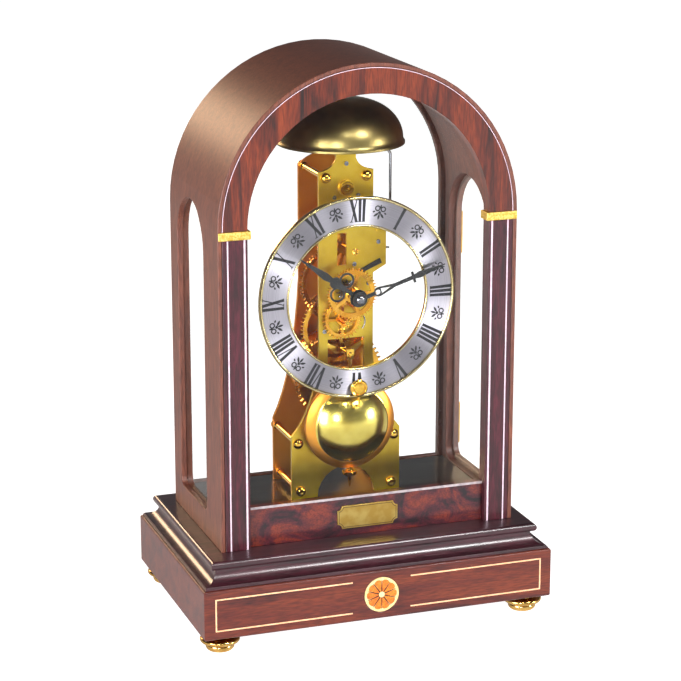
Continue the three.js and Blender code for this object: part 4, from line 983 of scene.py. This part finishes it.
# ------------------------------------------------------------------ the base
@dataclass
class Plinth(Assembly):
    """The base box with its inlays, the mouldings on it and the feet."""

    line: float = 1.0
    line_proud: float = 0.06
    line_inset: float = 6.2
    gap: float = 20.5  # from the middle to where the lines start
    end: float = 7.5  # from where they end to the box's corner
    segments: int = 10
    eye: float = 2.0

    def build(self) -> None:
        """Builds and dresses every piece."""
        self.copy("base_box", BASE_VENEER, 0.35, "mahogany")
        self.cove()
        self.plate()
        self.lines()
        self.medallion()
        for place in ("front_left", "front_right", "rear_left", "rear_right"):
            self.foot("foot_" + place)

    def cove(self) -> None:
        """The hollow moulding, with a small fillet above and below."""
        low, high = mm_box("cove_moulding")
        top = mm_box("base_plate")[1]
        out = high.x - top.x
        inset, soft, fillet = -3.5, 0.3, 1.2
        profile = [
            (out - soft, low.z), (out, low.z + soft), (out, low.z + fillet - soft), (out - soft, low.z + fillet),
        ]
        steps = 22
        for i in range(steps + 1):
            a = math.pi / 2 * i / steps
            profile.append((
                inset + (out - 1 - inset) * (1 - math.sin(a)),
                low.z + 2 + (high.z - low.z - 2.6) * (1 - math.cos(a)),
            ))
        profile.append((inset, high.z))
        made = rect_moulding("cove_moulding_run", (top.x, top.y), profile, finish(MOULDING_LACQUER))
        self.keep(made, "dark_lacquer", "cove_moulding")

    def plate(self) -> None:
        """The plate that the case stands on, with a half-round edge."""
        low, high = mm_box("base_plate")
        r = (high.z - low.z) / 2
        profile = arc(-r, low.z + r, r, -90, 90, 20)
        made = rect_moulding("base_plate_bead", (high.x, high.y), profile, finish(MOULDING_LACQUER))
        self.keep(made, "dark_lacquer", "base_plate")

    def lines(self) -> None:
        """Two bracket-shaped line inlays that open towards the medallion."""
        low, high = mm_box("base_box")
        y = low.y
        z0, z1 = low.z + self.line_inset, high.z - self.line_inset
        half = self.line / 2
        outlines = []
        for side in (-1, 1):
            near, far = side * self.gap, side * (high.x - self.end)
            for z in (z0, z1):
                outlines.append((rectangle(near, far, z - half, z + half), []))
            outlines.append((rectangle(far, far - side * self.line, z0 + half, z1 - half), []))
        self.inlay("base_line_inlay", outlines, y - self.line_proud, y + 0.15, LINE_INLAY, "inlay")

    def medallion(self) -> None:
        """A cream disc with amber segments, scorched lines between them and a cream eye."""
        low, high = mm_box("medallion")
        r = (high.x - low.x) / 2
        cx, cz = (low.x + high.x) / 2, (low.z + high.z) / 2
        y0, y1 = low.y, high.y
        self.inlay("medallion_ground", [(ring(cx, cz, r, 96), [])], y0, y1, CREAM_INLAY, "inlay", "medallion")
        half = 180 / self.segments
        tip = half - 2.2
        rounded = ((0.8, tip), (0.87, half / 2), (0.89, 0), (0.87, -half / 2), (0.8, -tip))
        wedge = [(0.35, self.eye)] + [
            (r * q * math.sin(math.radians(a)), r * q * math.cos(math.radians(a))) for q, a in rounded
        ] + [(-0.35, self.eye)]
        spoke = bar((0, 1.5), (0, r * 0.86), 0.9, 0.35)
        sets = (
            ("medallion_segments", wedge, -0.05, AMBER_INLAY, math.pi / self.segments),
            ("medallion_lines", spoke, -0.07, SCORCHED, 0.0),
        )
        for name, outline, proud, kind, start in sets:
            template = to_object("template", plates([(outline, [])], proud, 0.1), finish(kind))
            self.keep(grown(name, TREES.ring, {
                Circle.TEMPLATE: template, Circle.COUNT: self.segments, Circle.RADIUS: 0.0, Circle.START: start,
                Circle.CENTRE: (cx * MM, y0 * MM, cz * MM), Circle.FINISH: finish(kind),
            }), "inlay")
        eye = [(ring(cx, cz, self.eye, 40), [])]
        self.inlay("medallion_eye", eye, y0 - 0.1, y0 + 0.1, CREAM_INLAY, "inlay")

    def foot(self, node: str) -> None:
        """A turned brass bun foot.

        Args:
            node: The CAD node it stands for.
        """
        low, high = mm_box(node)
        r, h = (high.x - low.x) / 2, high.z - low.z
        centre = ((low.x + high.x) / 2, (low.y + high.y) / 2)
        flange = arc(r * 0.87, h * 0.62, r * 0.13, -85, 85, 12)
        bun = arc(r * 0.5, h * 0.24, r * 0.22, -85, 70, 12)
        profile = [
            (0, 0), (r * 0.44, 0), *bun, (r * 0.56, h * 0.46), (r * 0.62, h * 0.47), *flange,
            (r * 0.6, h * 0.8), (r * 0.52, h * 0.84), (r * 0.52, h), (0, h),
        ]
        self.lathe(node + "_turned", profile, centre, Axis.Z, TURNED_BRASS, "brass", node)


# ------------------------------------------------------------------ the case
@dataclass
class CaseBody(Assembly):
    """The arched shell, the floor board and the side panes."""

    def build(self) -> None:
        """Builds and dresses every piece."""
        self.copy("case_shell", CASE_VENEER, 0.45, "walnut")
        self.copy("case_floor", FLOOR_STAIN, 0.3, "dark_board")
        for side in ("left", "right"):
            self.copy("side_glass_" + side, GLASS, 0.0, "clear_glass")


@dataclass
class FrontFrame(Assembly):
    """The glazed front: arch, pilasters, capitals, rail, nameplate and pane."""

    proud: float = 0.06
    # bead is the width of the painted highlight along the rail's top edge, in millimetres.
    bead: float = 1.7
    notch: float = 3.2

    def build(self) -> None:
        """Builds and dresses every piece."""
        self.copy("front_arch", ARCH_VENEER, 0.35, "rosewood")
        self.copy("front_rail", RAIL_BURL, 0.3, "burl")
        self.copy("front_glass", GLASS, 0.0, "clear_glass")
        for side in ("left", "right"):
            self.copy("pilaster_" + side, PILASTER_LACQUER, 0.35, "dark_lacquer")
            self.copy("capital_" + side, GILT, 0.5, "gilt")
            self.stripes(side)
        self.arch_edge_highlight()
        self.rail_top_highlight()
        self.nameplate()

    def stripes(self, side: str) -> None:
        """The two pale inlaid lines down a pilaster's face.

        Args:
            side: Left or right.
        """
        low, high = mm_box("pilaster_" + side)
        inner, outer = (low.x, high.x) if side == "right" else (high.x, low.x)
        sign = 1 if side == "right" else -1
        lines = ((inner + sign * 1.6, inner + sign * 2.8), (outer - sign * 4.0, outer - sign * 3.1))
        outlines = [(rectangle(near, far, low.z + 0.2, high.z - 0.2), []) for near, far in lines]
        self.inlay("pilaster_lines_" + side, outlines, low.y - self.proud, low.y + 0.2, PALE_LINE_AND_EDGE_HIGHLIGHT, "inlay")

    def arch_edge_highlight(self) -> None:
        """A painted highlight: a thin pale line round the arch's outer edge, where the light catches its arris.
        """
        low, high = mm_box("front_arch")
        r = high.x
        spring = low.z
        outer = arc(0, spring, r - 0.05, 0, 180, 96)
        inner = arc(0, spring, r - 0.45, 180, 0, 96)
        line = [(outer + inner, [])]
        self.inlay("arch_edge_line", line, low.y - self.proud, low.y + 0.2, PALE_LINE_AND_EDGE_HIGHLIGHT, "inlay")

    def rail_top_highlight(self) -> None:
        """A painted highlight: a bright pale line along the rail's top edge, where the front light catches it.
        """
        low, high = mm_box("front_rail")
        line = rectangle(low.x + 0.1, high.x - 0.1, high.z - self.bead, high.z - 0.05)
        # A flat pale strip, proud of the rail: a painted highlight, not a real bead.
        self.inlay("rail_top_line", [(line, [])], low.y - 2 * self.proud, low.y + 0.2, RAIL_TOP_HIGHLIGHT, "inlay")

    def nameplate(self) -> None:
        """A blank brass plate with notched corners and an engraved border."""
        self.copy("nameplate", LABEL_BRASS, 0.12, "gilt")
        low, high = mm_box("nameplate")
        cx, cz = (low.x + high.x) / 2, (low.z + high.z) / 2
        w, h = (high.x - low.x) / 2, (high.z - low.z) / 2

        def frame_line(inset: float) -> list[Point]:
            """Gives the notched outline, drawn in by an inset in millimetres."""
            n = self.notch + inset
            e = math.degrees(math.asin(inset / n))
            points = arc(-w, -h, n, 90 - e, e, 8) + arc(w, -h, n, 180 - e, 90 + e, 8)
            points += arc(w, h, n, 270 - e, 180 + e, 8) + arc(-w, h, n, 360 - e, 270 + e, 8)
            return [(cx + x, cz + z) for x, z in points]

        border = [(frame_line(0.9), [frame_line(1.25)])]
        self.inlay("nameplate_border", border, low.y - 0.03, low.y + 0.1, SCORCHED, "gilt")


@dataclass
class RearDoor(Assembly):
    """The glazed door at the back, with its knob and hinge leaves."""

    body = "rear_door"

    def build(self) -> None:
        """Builds and dresses every piece."""
        self.copy("rear_door_frame", CASE_VENEER, 0.5, "walnut")
        self.copy("rear_door_glass", GLASS, 0.0, "clear_glass")
        self.knob()
        for place in ("upper", "lower"):
            self.copy("hinge_" + place + "_door_leaf", POLISHED_BRASS, 0.15, "brass")
            self.copy("hinge_" + place + "_case_leaf", POLISHED_BRASS, 0.15, "brass", body="case")

    def knob(self) -> None:
        """A small turned brass knob on a rose."""
        low, high = mm_box("rear_door_knob")
        r, y, size = (high.z - low.z) / 2, low.y, high.y - low.y
        centre = ((low.x + high.x) / 2, (low.z + high.z) / 2)
        head = arc(r * 0.34, y + size * 0.7, r * 0.66, -62, 74, 14)
        profile = [
            (0, y), (r * 0.78, y), (r * 0.8, y + 0.4), (r * 0.72, y + 1.1), (r * 0.42, y + 1.8),
            (r * 0.4, y + size * 0.42), *head, (0, y + size * 0.995),
        ]
        self.lathe(
            "rear_door_knob_turned", profile, centre, Axis.Y, POLISHED_BRASS, "brass", "rear_door_knob",
        )


# ------------------------------------------------------------------ the movement
# The front plate's screws: millimetres right of and above the dial's centre.
SCREW_SPOTS = (
    (5.7, 17.5), (22.7, 31.5), (-8.4, 63.5), (8.4, 64.1), (-15.5, 40.0),
    (15.8, 3.5), (-15.5, -27.5), (24.5, -104), (-24.5, -104), (0, 86),
)


def pivot(joint: str) -> Point:
    """Gives a joint's place in X and Z, in millimetres."""
    x, _, z = next(j for j in frame["joints"] if j["name"] == joint)["pos_m"]
    return (x / MM, z / MM)


@dataclass
class MovementFrame(Assembly):
    """The two plates, the pillars between them, and the screws and bushes on the front plate."""

    depth: float = 45.0  # from the front plate's face to the back plate's front
    plate: float = 2.2
    screw: float = 1.5
    slot: float = 0.22  # half the width of a screw's slot

    def build(self) -> None:
        """Builds and dresses every piece."""
        self.back = mm_box("back_plate")[0].y
        self.face = self.back - self.depth
        self.dial_z = middle("dial_ring").z
        self.copy("front_plate", PLATE_BRASS, 0.22, "brass")
        # The rear plate's orange is painted reflection.
        self.copy("back_plate", ORANGE_REFLECTION_BRASS, 0.22, "brass")
        for name in sorted(frame["nodes"]):
            if name.startswith("pillar_"):
                self.pillar(name)
        self.screws()
        self.bushes()
        self.levers()

    def pillar(self, node: str) -> None:
        """A turned pillar with a domed nut in front and a plain one behind.

        Args:
            node: The CAD node it stands for.
        """
        low, high = mm_box(node)
        nut, shoulder, waist, stud = 3.6, 2.9, 2.2, 1.3
        front, back, end = low.y + 3, self.back, high.y - 1.6
        inside = front + self.plate
        turn = [math.radians(a) for a in range(0, 91, 10)]
        dome = [(nut * math.sin(a), front - 0.7 - 2.3 * math.cos(a)) for a in turn]
        profile = [
            (0, dome[0][1]), *dome[1:], (nut, front), (stud, front), (stud, inside), (shoulder, inside),
            (shoulder, inside + 1.5), (waist, inside + 2.5), (waist, back - 2.5), (shoulder, back - 1.5),
            (shoulder, back), (stud, back), (stud, end), (3.5, end), (nut, end + 0.3), (nut, end + 1.3),
            (3.2, end + 1.6), (0, end + 1.6),
        ]
        centre = ((low.x + high.x) / 2, (low.z + high.z) / 2)
        self.lathe(node + "_turned", profile, centre, Axis.Y, POLISHED_BRASS, "brass", node, steps=40)

    def screws(self) -> None:
        """Small cheese-head screws with slots, set on points of the front plate."""
        steel = finish(BRIGHT_STEEL)
        half = math.degrees(math.asin(self.slot / self.screw))
        halves = [(arc(0, 0, self.screw, turn + half, turn + 180 - half, 12), []) for turn in (0, 180)]
        above = to_object("above_the_slot", plates(halves, -1.0, 0.0), steel)
        below = to_object("below_the_slot", plates([(ring(0, 0, self.screw, 24), [])], -0.55, 0.0), steel)
        values = {Circle.TEMPLATE: joined("screw", [above, below]), Circle.FINISH: steel}
        spots = [(x, self.face, self.dial_z + z) for x, z in SCREW_SPOTS]
        self.keep(grown("front_plate_screws", TREES.spots, values, spots), "steel")

    def bushes(self) -> None:
        """Polished bushes round the pivot holes in the front plate, and the ring on the anchor's cock."""
        y = self.face
        profile = [(1.25, y), (1.25, y - 0.25), (1.9, y - 0.5), (2.4, y - 0.3), (2.4, y)]
        pieces = [
            turned("bush", profile, pivot(joint), Axis.Y, finish(POLISHED_BRASS), 32)
            for joint in ("second_turn", "third_turn", "escape_turn")
        ]
        self.keep(joined("pivot_bushes", pieces), "brass")
        profile = [(1.6, y - 2), (1.6, y - 2.4), (3.2, y - 2.7), (4.6, y - 2.4), (4.6, y - 2)]
        at = pivot("pendulum_swing")
        self.lathe("anchor_cock_ring", profile, at, Axis.Y, POLISHED_BRASS, "brass", steps=48)

    def levers(self) -> None:
        """The bow spring and the lifting lever on the front plate."""
        y, z = self.face, self.dial_z
        bow = [(x, y - 0.5, up) for x, up in arc(6.0, z - 22.5, 7.4, -42, 42, 10)]
        self.keep(wire("bow_spring", bow, 0.45, finish(BRIGHT_STEEL)), "steel")
        lever = bar((8.5, z + 11.5), (24.5, z + 18.5), 2.6, 3.4)
        self.inlay("lifting_lever", [(lever, [])], y - 1.0, y, BLACK_ENAMEL, "steel")


@dataclass
class GoingTrain(Assembly):
    """The wheels, arbors and winding work between and behind the plates."""

    def build(self) -> None:
        """Builds and dresses every piece."""
        wheels = (
            ("second_wheel", "second"), ("centre_wheel", "centre"), ("third_wheel", "third"),
            ("escape_wheel", "escape"), ("barrel", "barrel"),
        )
        for node, body in wheels:
            self.copy(node, WHEEL_BRASS, 0.07, "brass", body=body)
        self.copy("winding_arbor", BRIGHT_STEEL, 0.12, "steel", body="winding")
        self.copy("click", BRIGHT_STEEL, 0.12, "steel", body="click")
        self.copy("hand_nut", BRIGHT_STEEL, 0.1, "brass", body="centre")
        self.barrel_cap()

    def barrel_cap(self) -> None:
        """The turned lines on the spring barrel's cap."""
        at = (0.0, middle("barrel").z)
        y = mm_box("barrel")[0].y + 1
        pieces = []
        for q in (10.5, 15.0, 24.5):
            line = [(q - 0.3, y), (q - 0.3, y - 0.25), (q + 0.3, y - 0.25), (q + 0.3, y)]
            pieces.append(turned("line", line, at, Axis.Y, finish(POLISHED_BRASS), 72))
        self.keep(joined("barrel_turned_lines", pieces), "brass", body="barrel")


@dataclass
class Pendulum(Assembly):
    """The anchor and crutch, the rod, the domed bob, the rosette and the rating nut."""

    body = "pendulum"
    rim: float = 6.5  # the bob's, outside its dome
    rise: float = 10.5  # of the dome

    def build(self) -> None:
        """Builds and dresses every piece."""
        self.copy("anchor_and_crutch", POLISHED_BRASS, 0.12, "brass")
        self.copy("pendulum_rod", POLISHED_BRASS, 0.15, "brass")
        self.bob()
        self.rosette()
        self.nut()

    def bob(self) -> None:
        """A spun brass bob: a domed centre inside a coned rim."""
        low, high = mm_box("bob")
        r = (high.x - low.x) / 2
        cz = low.z + r
        y_rod = high.y - 6
        base, rise = r - self.rim, self.rise
        sphere = (base * base + rise * rise) / (2 * rise)
        y_dome = y_rod - 5
        spread = math.degrees(math.asin(base / sphere))
        dome = arc(0, y_dome - rise + sphere, sphere, -90 + spread, -90, 26)
        dome[-1] = (0, dome[-1][1])
        rim = [
            (0, y_rod + 6), (r * 0.55, y_rod + 6), (r * 0.78, y_rod + 4.8), (r * 0.9, y_rod + 4.1),
            (r * 0.96, y_rod + 2.2), (r, y_rod + 0.8), (r, y_rod - 0.4), (r - 0.4, y_rod - 1.2),
            (base + 1.0, y_dome + 0.7), (0, y_dome + 0.7),
        ]
        cap = [(0, y_dome + 0.7), (base + 0.5, y_dome + 0.7), (base + 0.6, y_dome + 0.2), *dome]
        # The rim's orange is painted reflection; the dome keeps plain spun brass.
        self.lathe("bob_rim", rim, (0.0, cz), Axis.Y, ORANGE_REFLECTION_BRASS, "brass", "bob", steps=128)
        self.lathe("bob_dome", cap, (0.0, cz), Axis.Y, SPUN_BRASS, "brass", steps=128)

    def rosette(self) -> None:
        """A small turned rosette, a bright ring round a polished disc, on its stalk."""
        low, high = mm_box("rosette")
        r = (high.x - low.x) / 2
        cz = high.z - r
        y = low.y + 1.2
        dish = [
            (0, y - 1.0), (r * 0.3, y - 0.95), (r * 0.56, y - 0.75), (r * 0.64, y - 0.2), (r * 0.7, y - 0.2),
            (r * 0.76, y - 0.9), (r * 0.86, y - 1.15), (r * 0.97, y - 0.8), (r, y - 0.2), (r, y + 0.4),
            (0, y + 0.4),
        ]
        brass = finish(POLISHED_BRASS)
        plate = turned("rosette_plate", dish, (0, cz), Axis.Y, brass, 64)
        z0 = low.z + 0.7
        touch = mm_box("bob")[0].y + 2.8
        path = [(0, touch, z0 - 0.6), (0, y - 0.2, z0), (0, y - 0.2, cz - 2)]
        stalk = wire("rosette_stalk", path, 0.7, brass)
        self.keep(joined("rosette_and_stalk", [plate, stalk]), "brass", "rosette")

    def nut(self) -> None:
        """The rating nut under the bob."""
        low, high = mm_box("rating_nut")
        r, z1, z0 = (high.x - low.x) / 2, high.z, low.z
        cy = (low.y + high.y) / 2
        bore = 1.7
        profile = [
            (bore, z1), (r * 0.5, z1), (r * 0.62, z1 - 0.9), (r * 0.96, z1 - 1.5), (r, z1 - 1.8), (r, z1 - 3.4),
            (r * 0.96, z1 - 3.7), (r * 0.6, z1 - 4.6), (r * 0.5, z0 + 0.2), (r * 0.45, z0), (bore, z0),
        ]
        self.lathe(
            "rating_nut_turned", profile, (0, cy), Axis.Z, POLISHED_BRASS, "brass", "rating_nut",
            steps=64, body="adjuster",
        )


# ------------------------------------------------------------------ the dial and hands
NUMERALS = ("XII", "I", "II", "III", "IIII", "V", "VI", "VII", "VIII", "IX", "X", "XI")


@dataclass
class Dial(Assembly):
    """The silvered ring with its bezels, printed numerals and small flourishes."""

    thick: float = 1.95
    thin: float = 0.7
    height: float = 14.6
    foot: float = 51.4
    ink: float = 0.05
    flourish: float = 10.7  # from the ring's inner edge to a flourish's middle
    width: float = 20.5  # of the ring
    plate: float = 1.6

    def build(self) -> None:
        """Builds and dresses every piece."""
        low, high = mm_box("dial_ring")
        self.cz = (low.z + high.z) / 2
        self.r1 = (high.x - low.x) / 2
        self.r0 = self.r1 - self.width
        self.back = high.y
        self.face = high.y - self.plate
        self.chapter()
        self.numerals()
        self.flourishes()
        for node in ("dial_post_upper", "dial_post_lower_left", "dial_post_lower_right"):
            self.post(node)

    def chapter(self) -> None:
        """The silvered ring and its two turned brass bezels."""
        f, b, r0, r1, at = self.face, self.back, self.r0, self.r1, (0.0, self.cz)
        # Silver rubbed on to brass while it turns: a cool grey with faint white fans from the centre.
        silver = Silvered("silvered and circular-grained dial", "#cdc8d2", "#b2adb8", (0, f * MM, self.cz * MM))
        flat = [(r0 + 1.0, b), (r0 + 1.0, f), (r1 - 1.6, f), (r1 - 1.6, b)]
        self.lathe("dial_chapter_ring", flat, at, Axis.Y, silver, "silvered", "dial_ring", steps=160)
        inner = [(r0, b), *crown(r0 + 0.75, 0.75, f, 0.9, 12), (r0 + 1.5, b)]
        self.lathe("dial_inner_bezel", inner, at, Axis.Y, BEZEL_BRASS, "brass", steps=128)
        outer = [(r1 - 2.2, b), *crown(r1 - 1.1, 1.1, f, 1.4, 14), (r1, b)]
        self.lathe("dial_outer_bezel", outer, at, Axis.Y, BEZEL_BRASS, "brass", steps=160)

    def strokes(self, text: str) -> list[list[Point]]:
        """Draws one numeral upright about x = 0, from z = 0 to its height.

        Args:
            text: The numeral.

        Returns:
            An outline for each stroke and serif.
        """
        h, thick, thin = self.height, self.thick, self.thin
        widths = {"I": 2.75, "V": 5.6, "X": 5.6}
        edge, serif = thick / 2 + 0.2, 1.25
        x = -sum(widths[c] for c in text) / 2
        out: list[list[Point]] = []
        for c in text:
            w = widths[c]
            mid = x + w / 2
            if c == "I":
                out.append(bar((mid, 0), (mid, h), thick, thick))
                serifs = [(mid, 0.0), (mid, h)]
            elif c == "V":
                out.append(bar((x + edge, h), (mid, 0), thick, thick))
                out.append(bar((x + w - thin, h), (mid + 0.2, 0), thin, thin))
                serifs = [(x + edge, h), (x + w - thin, h)]
            else:
                out.append(bar((x + edge, h), (x + w - edge, 0), thick, thick))
                out.append(bar((x + w - thin, h), (x + thin, 0), thin, thin))
                serifs = [(x + edge, h), (x + w - thin, h), (x + w - edge, 0), (x + thin, 0)]
            for sx, sz in serifs:
                out.append(bar((sx - serif, sz), (sx + serif, sz), 0.5, 0.5))
            x += w
        return out

    def numerals(self) -> None:
        """Twelve Roman numerals with their feet towards the centre."""
        outlines = []
        middle = self.foot + self.height / 2
        for hour, text in enumerate(NUMERALS):
            a = math.radians(30 * hour)
            for stroke in self.strokes(text):
                turned_points = []
                for x, z in stroke:
                    radius = self.foot + z
                    x = x * (1 + (radius - middle) / middle * 0.6)
                    turned_points.append((
                        x * math.cos(a) + radius * math.sin(a),
                        self.cz - x * math.sin(a) + radius * math.cos(a),
                    ))
                outlines.append((turned_points, []))
        self.inlay("dial_numerals", outlines, self.face - self.ink, self.face + 0.1, DIAL_INK, "black_hand")

    def flourishes(self) -> None:
        """A small generic flourish between each pair of numerals: two rings, a lozenge and leaves."""
        shapes: list[tuple[list[Point], list[list[Point]]]] = []
        for side in (-1, 1):
            shapes.append((ring(side * 2.0, 2.3, 1.95, 20), [ring(side * 2.0, 2.3, 1.1, 20)]))
            shapes.append((leaf((side * 0.5, -0.6), (side * 3.7, -3.6), 1.5), []))
            shapes.append((leaf((side * 3.2, 0.2), (side * 5.0, -0.9), 1.2), []))
        shapes.append((leaf((0, -0.9), (0, -5.2), 1.4), []))
        shapes.append((leaf((0, 2.6), (0, 5.2), 1.1), []))
        shapes.append(([(-1.2, -0.3), (0, -1.4), (1.2, -0.3), (0, 1.0)], []))
        ink = finish(DIAL_INK)
        self.keep(grown("dial_flourishes", TREES.ring, {
            Circle.TEMPLATE: to_object("flourish", plates(shapes, -self.ink, 0.1), ink),
            Circle.COUNT: len(NUMERALS), Circle.START: math.radians(15),
            Circle.RADIUS: (self.r0 + self.flourish) * MM,
            Circle.CENTRE: (0, self.face * MM, self.cz * MM), Circle.FINISH: ink,
        }), "black_hand")

    def post(self, node: str) -> None:
        """A turned post that carries the dial.

        Args:
            node: The CAD node it stands for.
        """
        low, high = mm_box(node)
        r = (high.x - low.x) / 2
        centre = ((low.x + high.x) / 2, (low.z + high.z) / 2)
        profile = [
            (0, low.y), (r, low.y), (r, low.y + 2), (r * 0.75, low.y + 3), (r * 0.75, high.y - 3),
            (r, high.y - 2), (r, high.y), (0, high.y),
        ]
        self.lathe(node + "_turned", profile, centre, Axis.Y, POLISHED_BRASS, "brass", node, steps=32)


@dataclass
class MotionWork(Assembly):
    """The wheels behind the dial and the two hands."""

    spokes: int = 5
    spoke: float = 2.2
    hub: float = 5.6
    rim: float = 4.6

    def build(self) -> None:
        """Builds and dresses every piece."""
        self.copy("cannon_pinion", BRIGHT_STEEL, 0.06, "steel", body="minute")
        self.copy("minute_hand", BLACK_ENAMEL, 0.2, "black_hand", body="minute")
        self.copy("minute_wheel", WHEEL_BRASS, 0.07, "brass", body="motion")
        self.hour_wheel()
        self.copy("hour_hand", BLACK_ENAMEL, 0.2, "black_hand", body="hour")

    def hour_wheel(self) -> None:
        """The hour wheel, crossed out to five spokes."""
        low, high = mm_box("hour_wheel")
        cz = (low.z + high.z) / 2
        rim = (high.z - low.z) / 2 - self.rim
        windows = []
        for i in range(self.spokes):
            mid = 360 / self.spokes * (i + 0.5)
            outer, inner = (180 / self.spokes - math.degrees(self.spoke / 2 / q) for q in (rim, self.hub))
            edge = arc(0, cz, rim, mid - outer, mid + outer, 12)
            windows.append(edge + arc(0, cz, self.hub, mid + inner, mid - inner, 5))
        wheel = pierced(refined("hour_wheel", finish(WHEEL_BRASS), 0.0), windows, high.y - 3, high.y + 1)
        self.keep(wheel, "brass", "hour_wheel", body="hour")


@dataclass
class Bell(Assembly):
    """The bell on its post and the hammer on its wire."""

    wall: float = 2.0
    hole: float = 2.3

    def build(self) -> None:
        """Builds and dresses every piece."""
        self.dome()
        self.copy("bell_post", POLISHED_BRASS, 0.2, "brass")
        self.copy("hammer", BRIGHT_STEEL, 0.1, "steel", body="strike")

    def dome(self) -> None:
        """The cast and turned bell, open below."""
        low, high = mm_box("bell")
        r, z0, h = (high.x - low.x) / 2, low.z, high.z - low.z
        centre = ((low.x + high.x) / 2, (low.y + high.y) / 2)
        outer = [(r - 0.3, z0), (r, z0 + 0.3), (r, z0 + 1.6), (r - 0.4, z0 + 2.2)]
        inner = []
        steps = 26
        for i in range(steps + 1):
            a = math.pi / 2 * i / steps
            for row, reach, z in ((outer, r - 1.2, z0 + 3.4), (inner, r - 1.2 - self.wall, z0 + 1.4)):
                q = (reach - self.hole) * max(math.cos(a), 0.0) ** 0.8 + self.hole
                row.append((min(q, reach - 0.015 * i), z + (h - 3.4) * math.sin(a)))
        profile = outer + inner[::-1] + [(r - 1.4, z0)]
        self.lathe("bell_turned", profile, centre, Axis.Z, BELL_BRASS, "brass", "bell", steps=128)


# ------------------------------------------------------------------ the studio
@dataclass
class Studio:
    """A plain pale floor, soft lights and the camera."""

    eye: Point3 = (-0.5138, -1.4477, 0.6050)
    yaw: float = 19.514
    pitch: float = 15.361
    lens: float = 124.4
    floor_glow: float = 0.36
    aim: Point3 = (0.0, -0.03, 0.22)

    def build(self) -> None:
        """Builds the floor, the lights, the world and the camera."""
        self.camera()
        self.floor()
        self.world()
        self.light("left box", (-1.45, -0.9, 0.3), 0.7, 32.0)
        self.light("shoulder box", (-0.62, 1.75, 0.8), 0.45, 9.0, "#ffd9b0")
        self.light("front box", (0.62, -1.25, 1.2), 0.32, 17.0)
        self.light("right box", (1.3, -0.98, 0.3), 0.3, 12.0)
        self.light("low box", (-0.77, -1.6, 0.4), 0.22, 11.0)
        self.light("spark", (-0.1, -1.5, 1.35), 0.12, 4.0)

    def camera(self) -> None:
        """Sets the camera."""
        data = bpy.data.cameras.new("camera")
        data.lens = self.lens
        data.sensor_width = 36.0
        data.clip_end = 20.0
        made = bpy.data.objects.new("camera", data)
        made.location = self.eye
        made.rotation_euler = (math.radians(90 - self.pitch), 0.0, math.radians(-self.yaw))
        bpy.context.scene.collection.objects.link(made)
        bpy.context.scene.camera = made

    def floor(self) -> None:
        """Lays a large pale floor."""
        mesh = bpy.data.meshes.new("floor")
        half = 6.0
        corners = ((-half, -half, 0), (half, -half, 0), (half, half, 0), (-half, half, 0))
        mesh.from_pydata(corners, [], [(0, 1, 2, 3)])
        material, tree, out = new_material("pale floor")
        matt = add_node(tree, "ShaderNodeBsdfPrincipled", {"Base Color": colour("#c9c9cb"), "Roughness": 0.9})
        low = add_node(tree, "ShaderNodeEmission", {"Color": colour("#ffffff"), "Strength": self.floor_glow})
        real = add_node(tree, "ShaderNodeAddShader", {0: matt.outputs[0], 1: low.outputs[0]})
        white = add_node(tree, "ShaderNodeEmission", {"Color": colour("#ffffff"), "Strength": 0.62})
        seen = add_node(tree, "ShaderNodeAddShader", {0: real.outputs[0], 1: white.outputs[0]})
        path = add_node(tree, "ShaderNodeLightPath")
        both = add_node(tree, "ShaderNodeMixShader", {
            0: path.outputs["Is Camera Ray"], 1: real.outputs[0], 2: seen.outputs[0],
        })
        tree.links.new(both.outputs[0], out.inputs["Surface"])
        made = bpy.data.objects.new("studio_floor", mesh)
        mesh.materials.append(material)
        bpy.context.scene.collection.objects.link(made)

    def world(self) -> None:
        """A white surround; what the pieces reflect of it darkens from the horizon upwards."""
        world = bpy.data.worlds.new("studio")
        bpy.context.scene.world = world
        world.use_nodes = True
        tree = world.node_tree
        tree.nodes.clear()
        where = add_node(tree, "ShaderNodeTexCoord").outputs["Generated"]
        parts = add_node(tree, "ShaderNodeSeparateXYZ", {0: where})
        shade = ramp(tree, parts.outputs["Z"], [
            (0.0, colour("#a0a0a0")), (0.12, colour("#8c8c8e")),
            (0.4, colour("#4a484a")), (1.0, colour("#242224")),
        ])
        soft = add_node(tree, "ShaderNodeBackground", {"Color": shade, "Strength": 1.0})
        white = add_node(tree, "ShaderNodeBackground", {"Color": colour("#ffffff"), "Strength": 1.0})
        path = add_node(tree, "ShaderNodeLightPath")
        mix = add_node(tree, "ShaderNodeMixShader", {
            0: path.outputs["Is Camera Ray"], 1: soft.outputs[0], 2: white.outputs[0],
        })
        add_node(tree, "ShaderNodeOutputWorld", {"Surface": mix.outputs[0]})

    def light(self, name: str, place: Point3, size: float, power: float, tint: str = "#ffffff") -> None:
        """Sets one soft box, turned to the clock.

        Args:
            name: The light's name.
            place: Where it stands, in metres.
            size: Its side.
            power: Its watts.
            tint: Its colour.
        """
        data = bpy.data.lights.new(name, "AREA")
        data.size = size
        data.energy = power
        data.color = colour(tint)[:3]
        made = bpy.data.objects.new(name, data)
        made.location = place
        made.rotation_euler = (Vector(self.aim) - Vector(place)).to_track_quat("-Z", "Y").to_euler()
        bpy.context.scene.collection.objects.link(made)


class Trees:
    """The geometry node trees, built once."""

    def __init__(self) -> None:
        """Builds both trees."""
        self.ring = ring_tree()
        self.spots = spot_tree()


TREES = Trees()


def main() -> None:
    """Builds the studio and every sub-assembly in order."""
    logging.basicConfig(level=logging.INFO, format="%(message)s")
    bpy.context.scene.view_settings.view_transform = "Standard"
    Studio().build()
    parts = (
        Plinth(), CaseBody(), FrontFrame(), RearDoor(), MovementFrame(), GoingTrain(), Pendulum(), Dial(),
        MotionWork(), Bell(),
    )
    for part in parts:
        part.build()
        LOG.info("%s done", type(part).__name__)


if __name__ == "__main__":
    main()
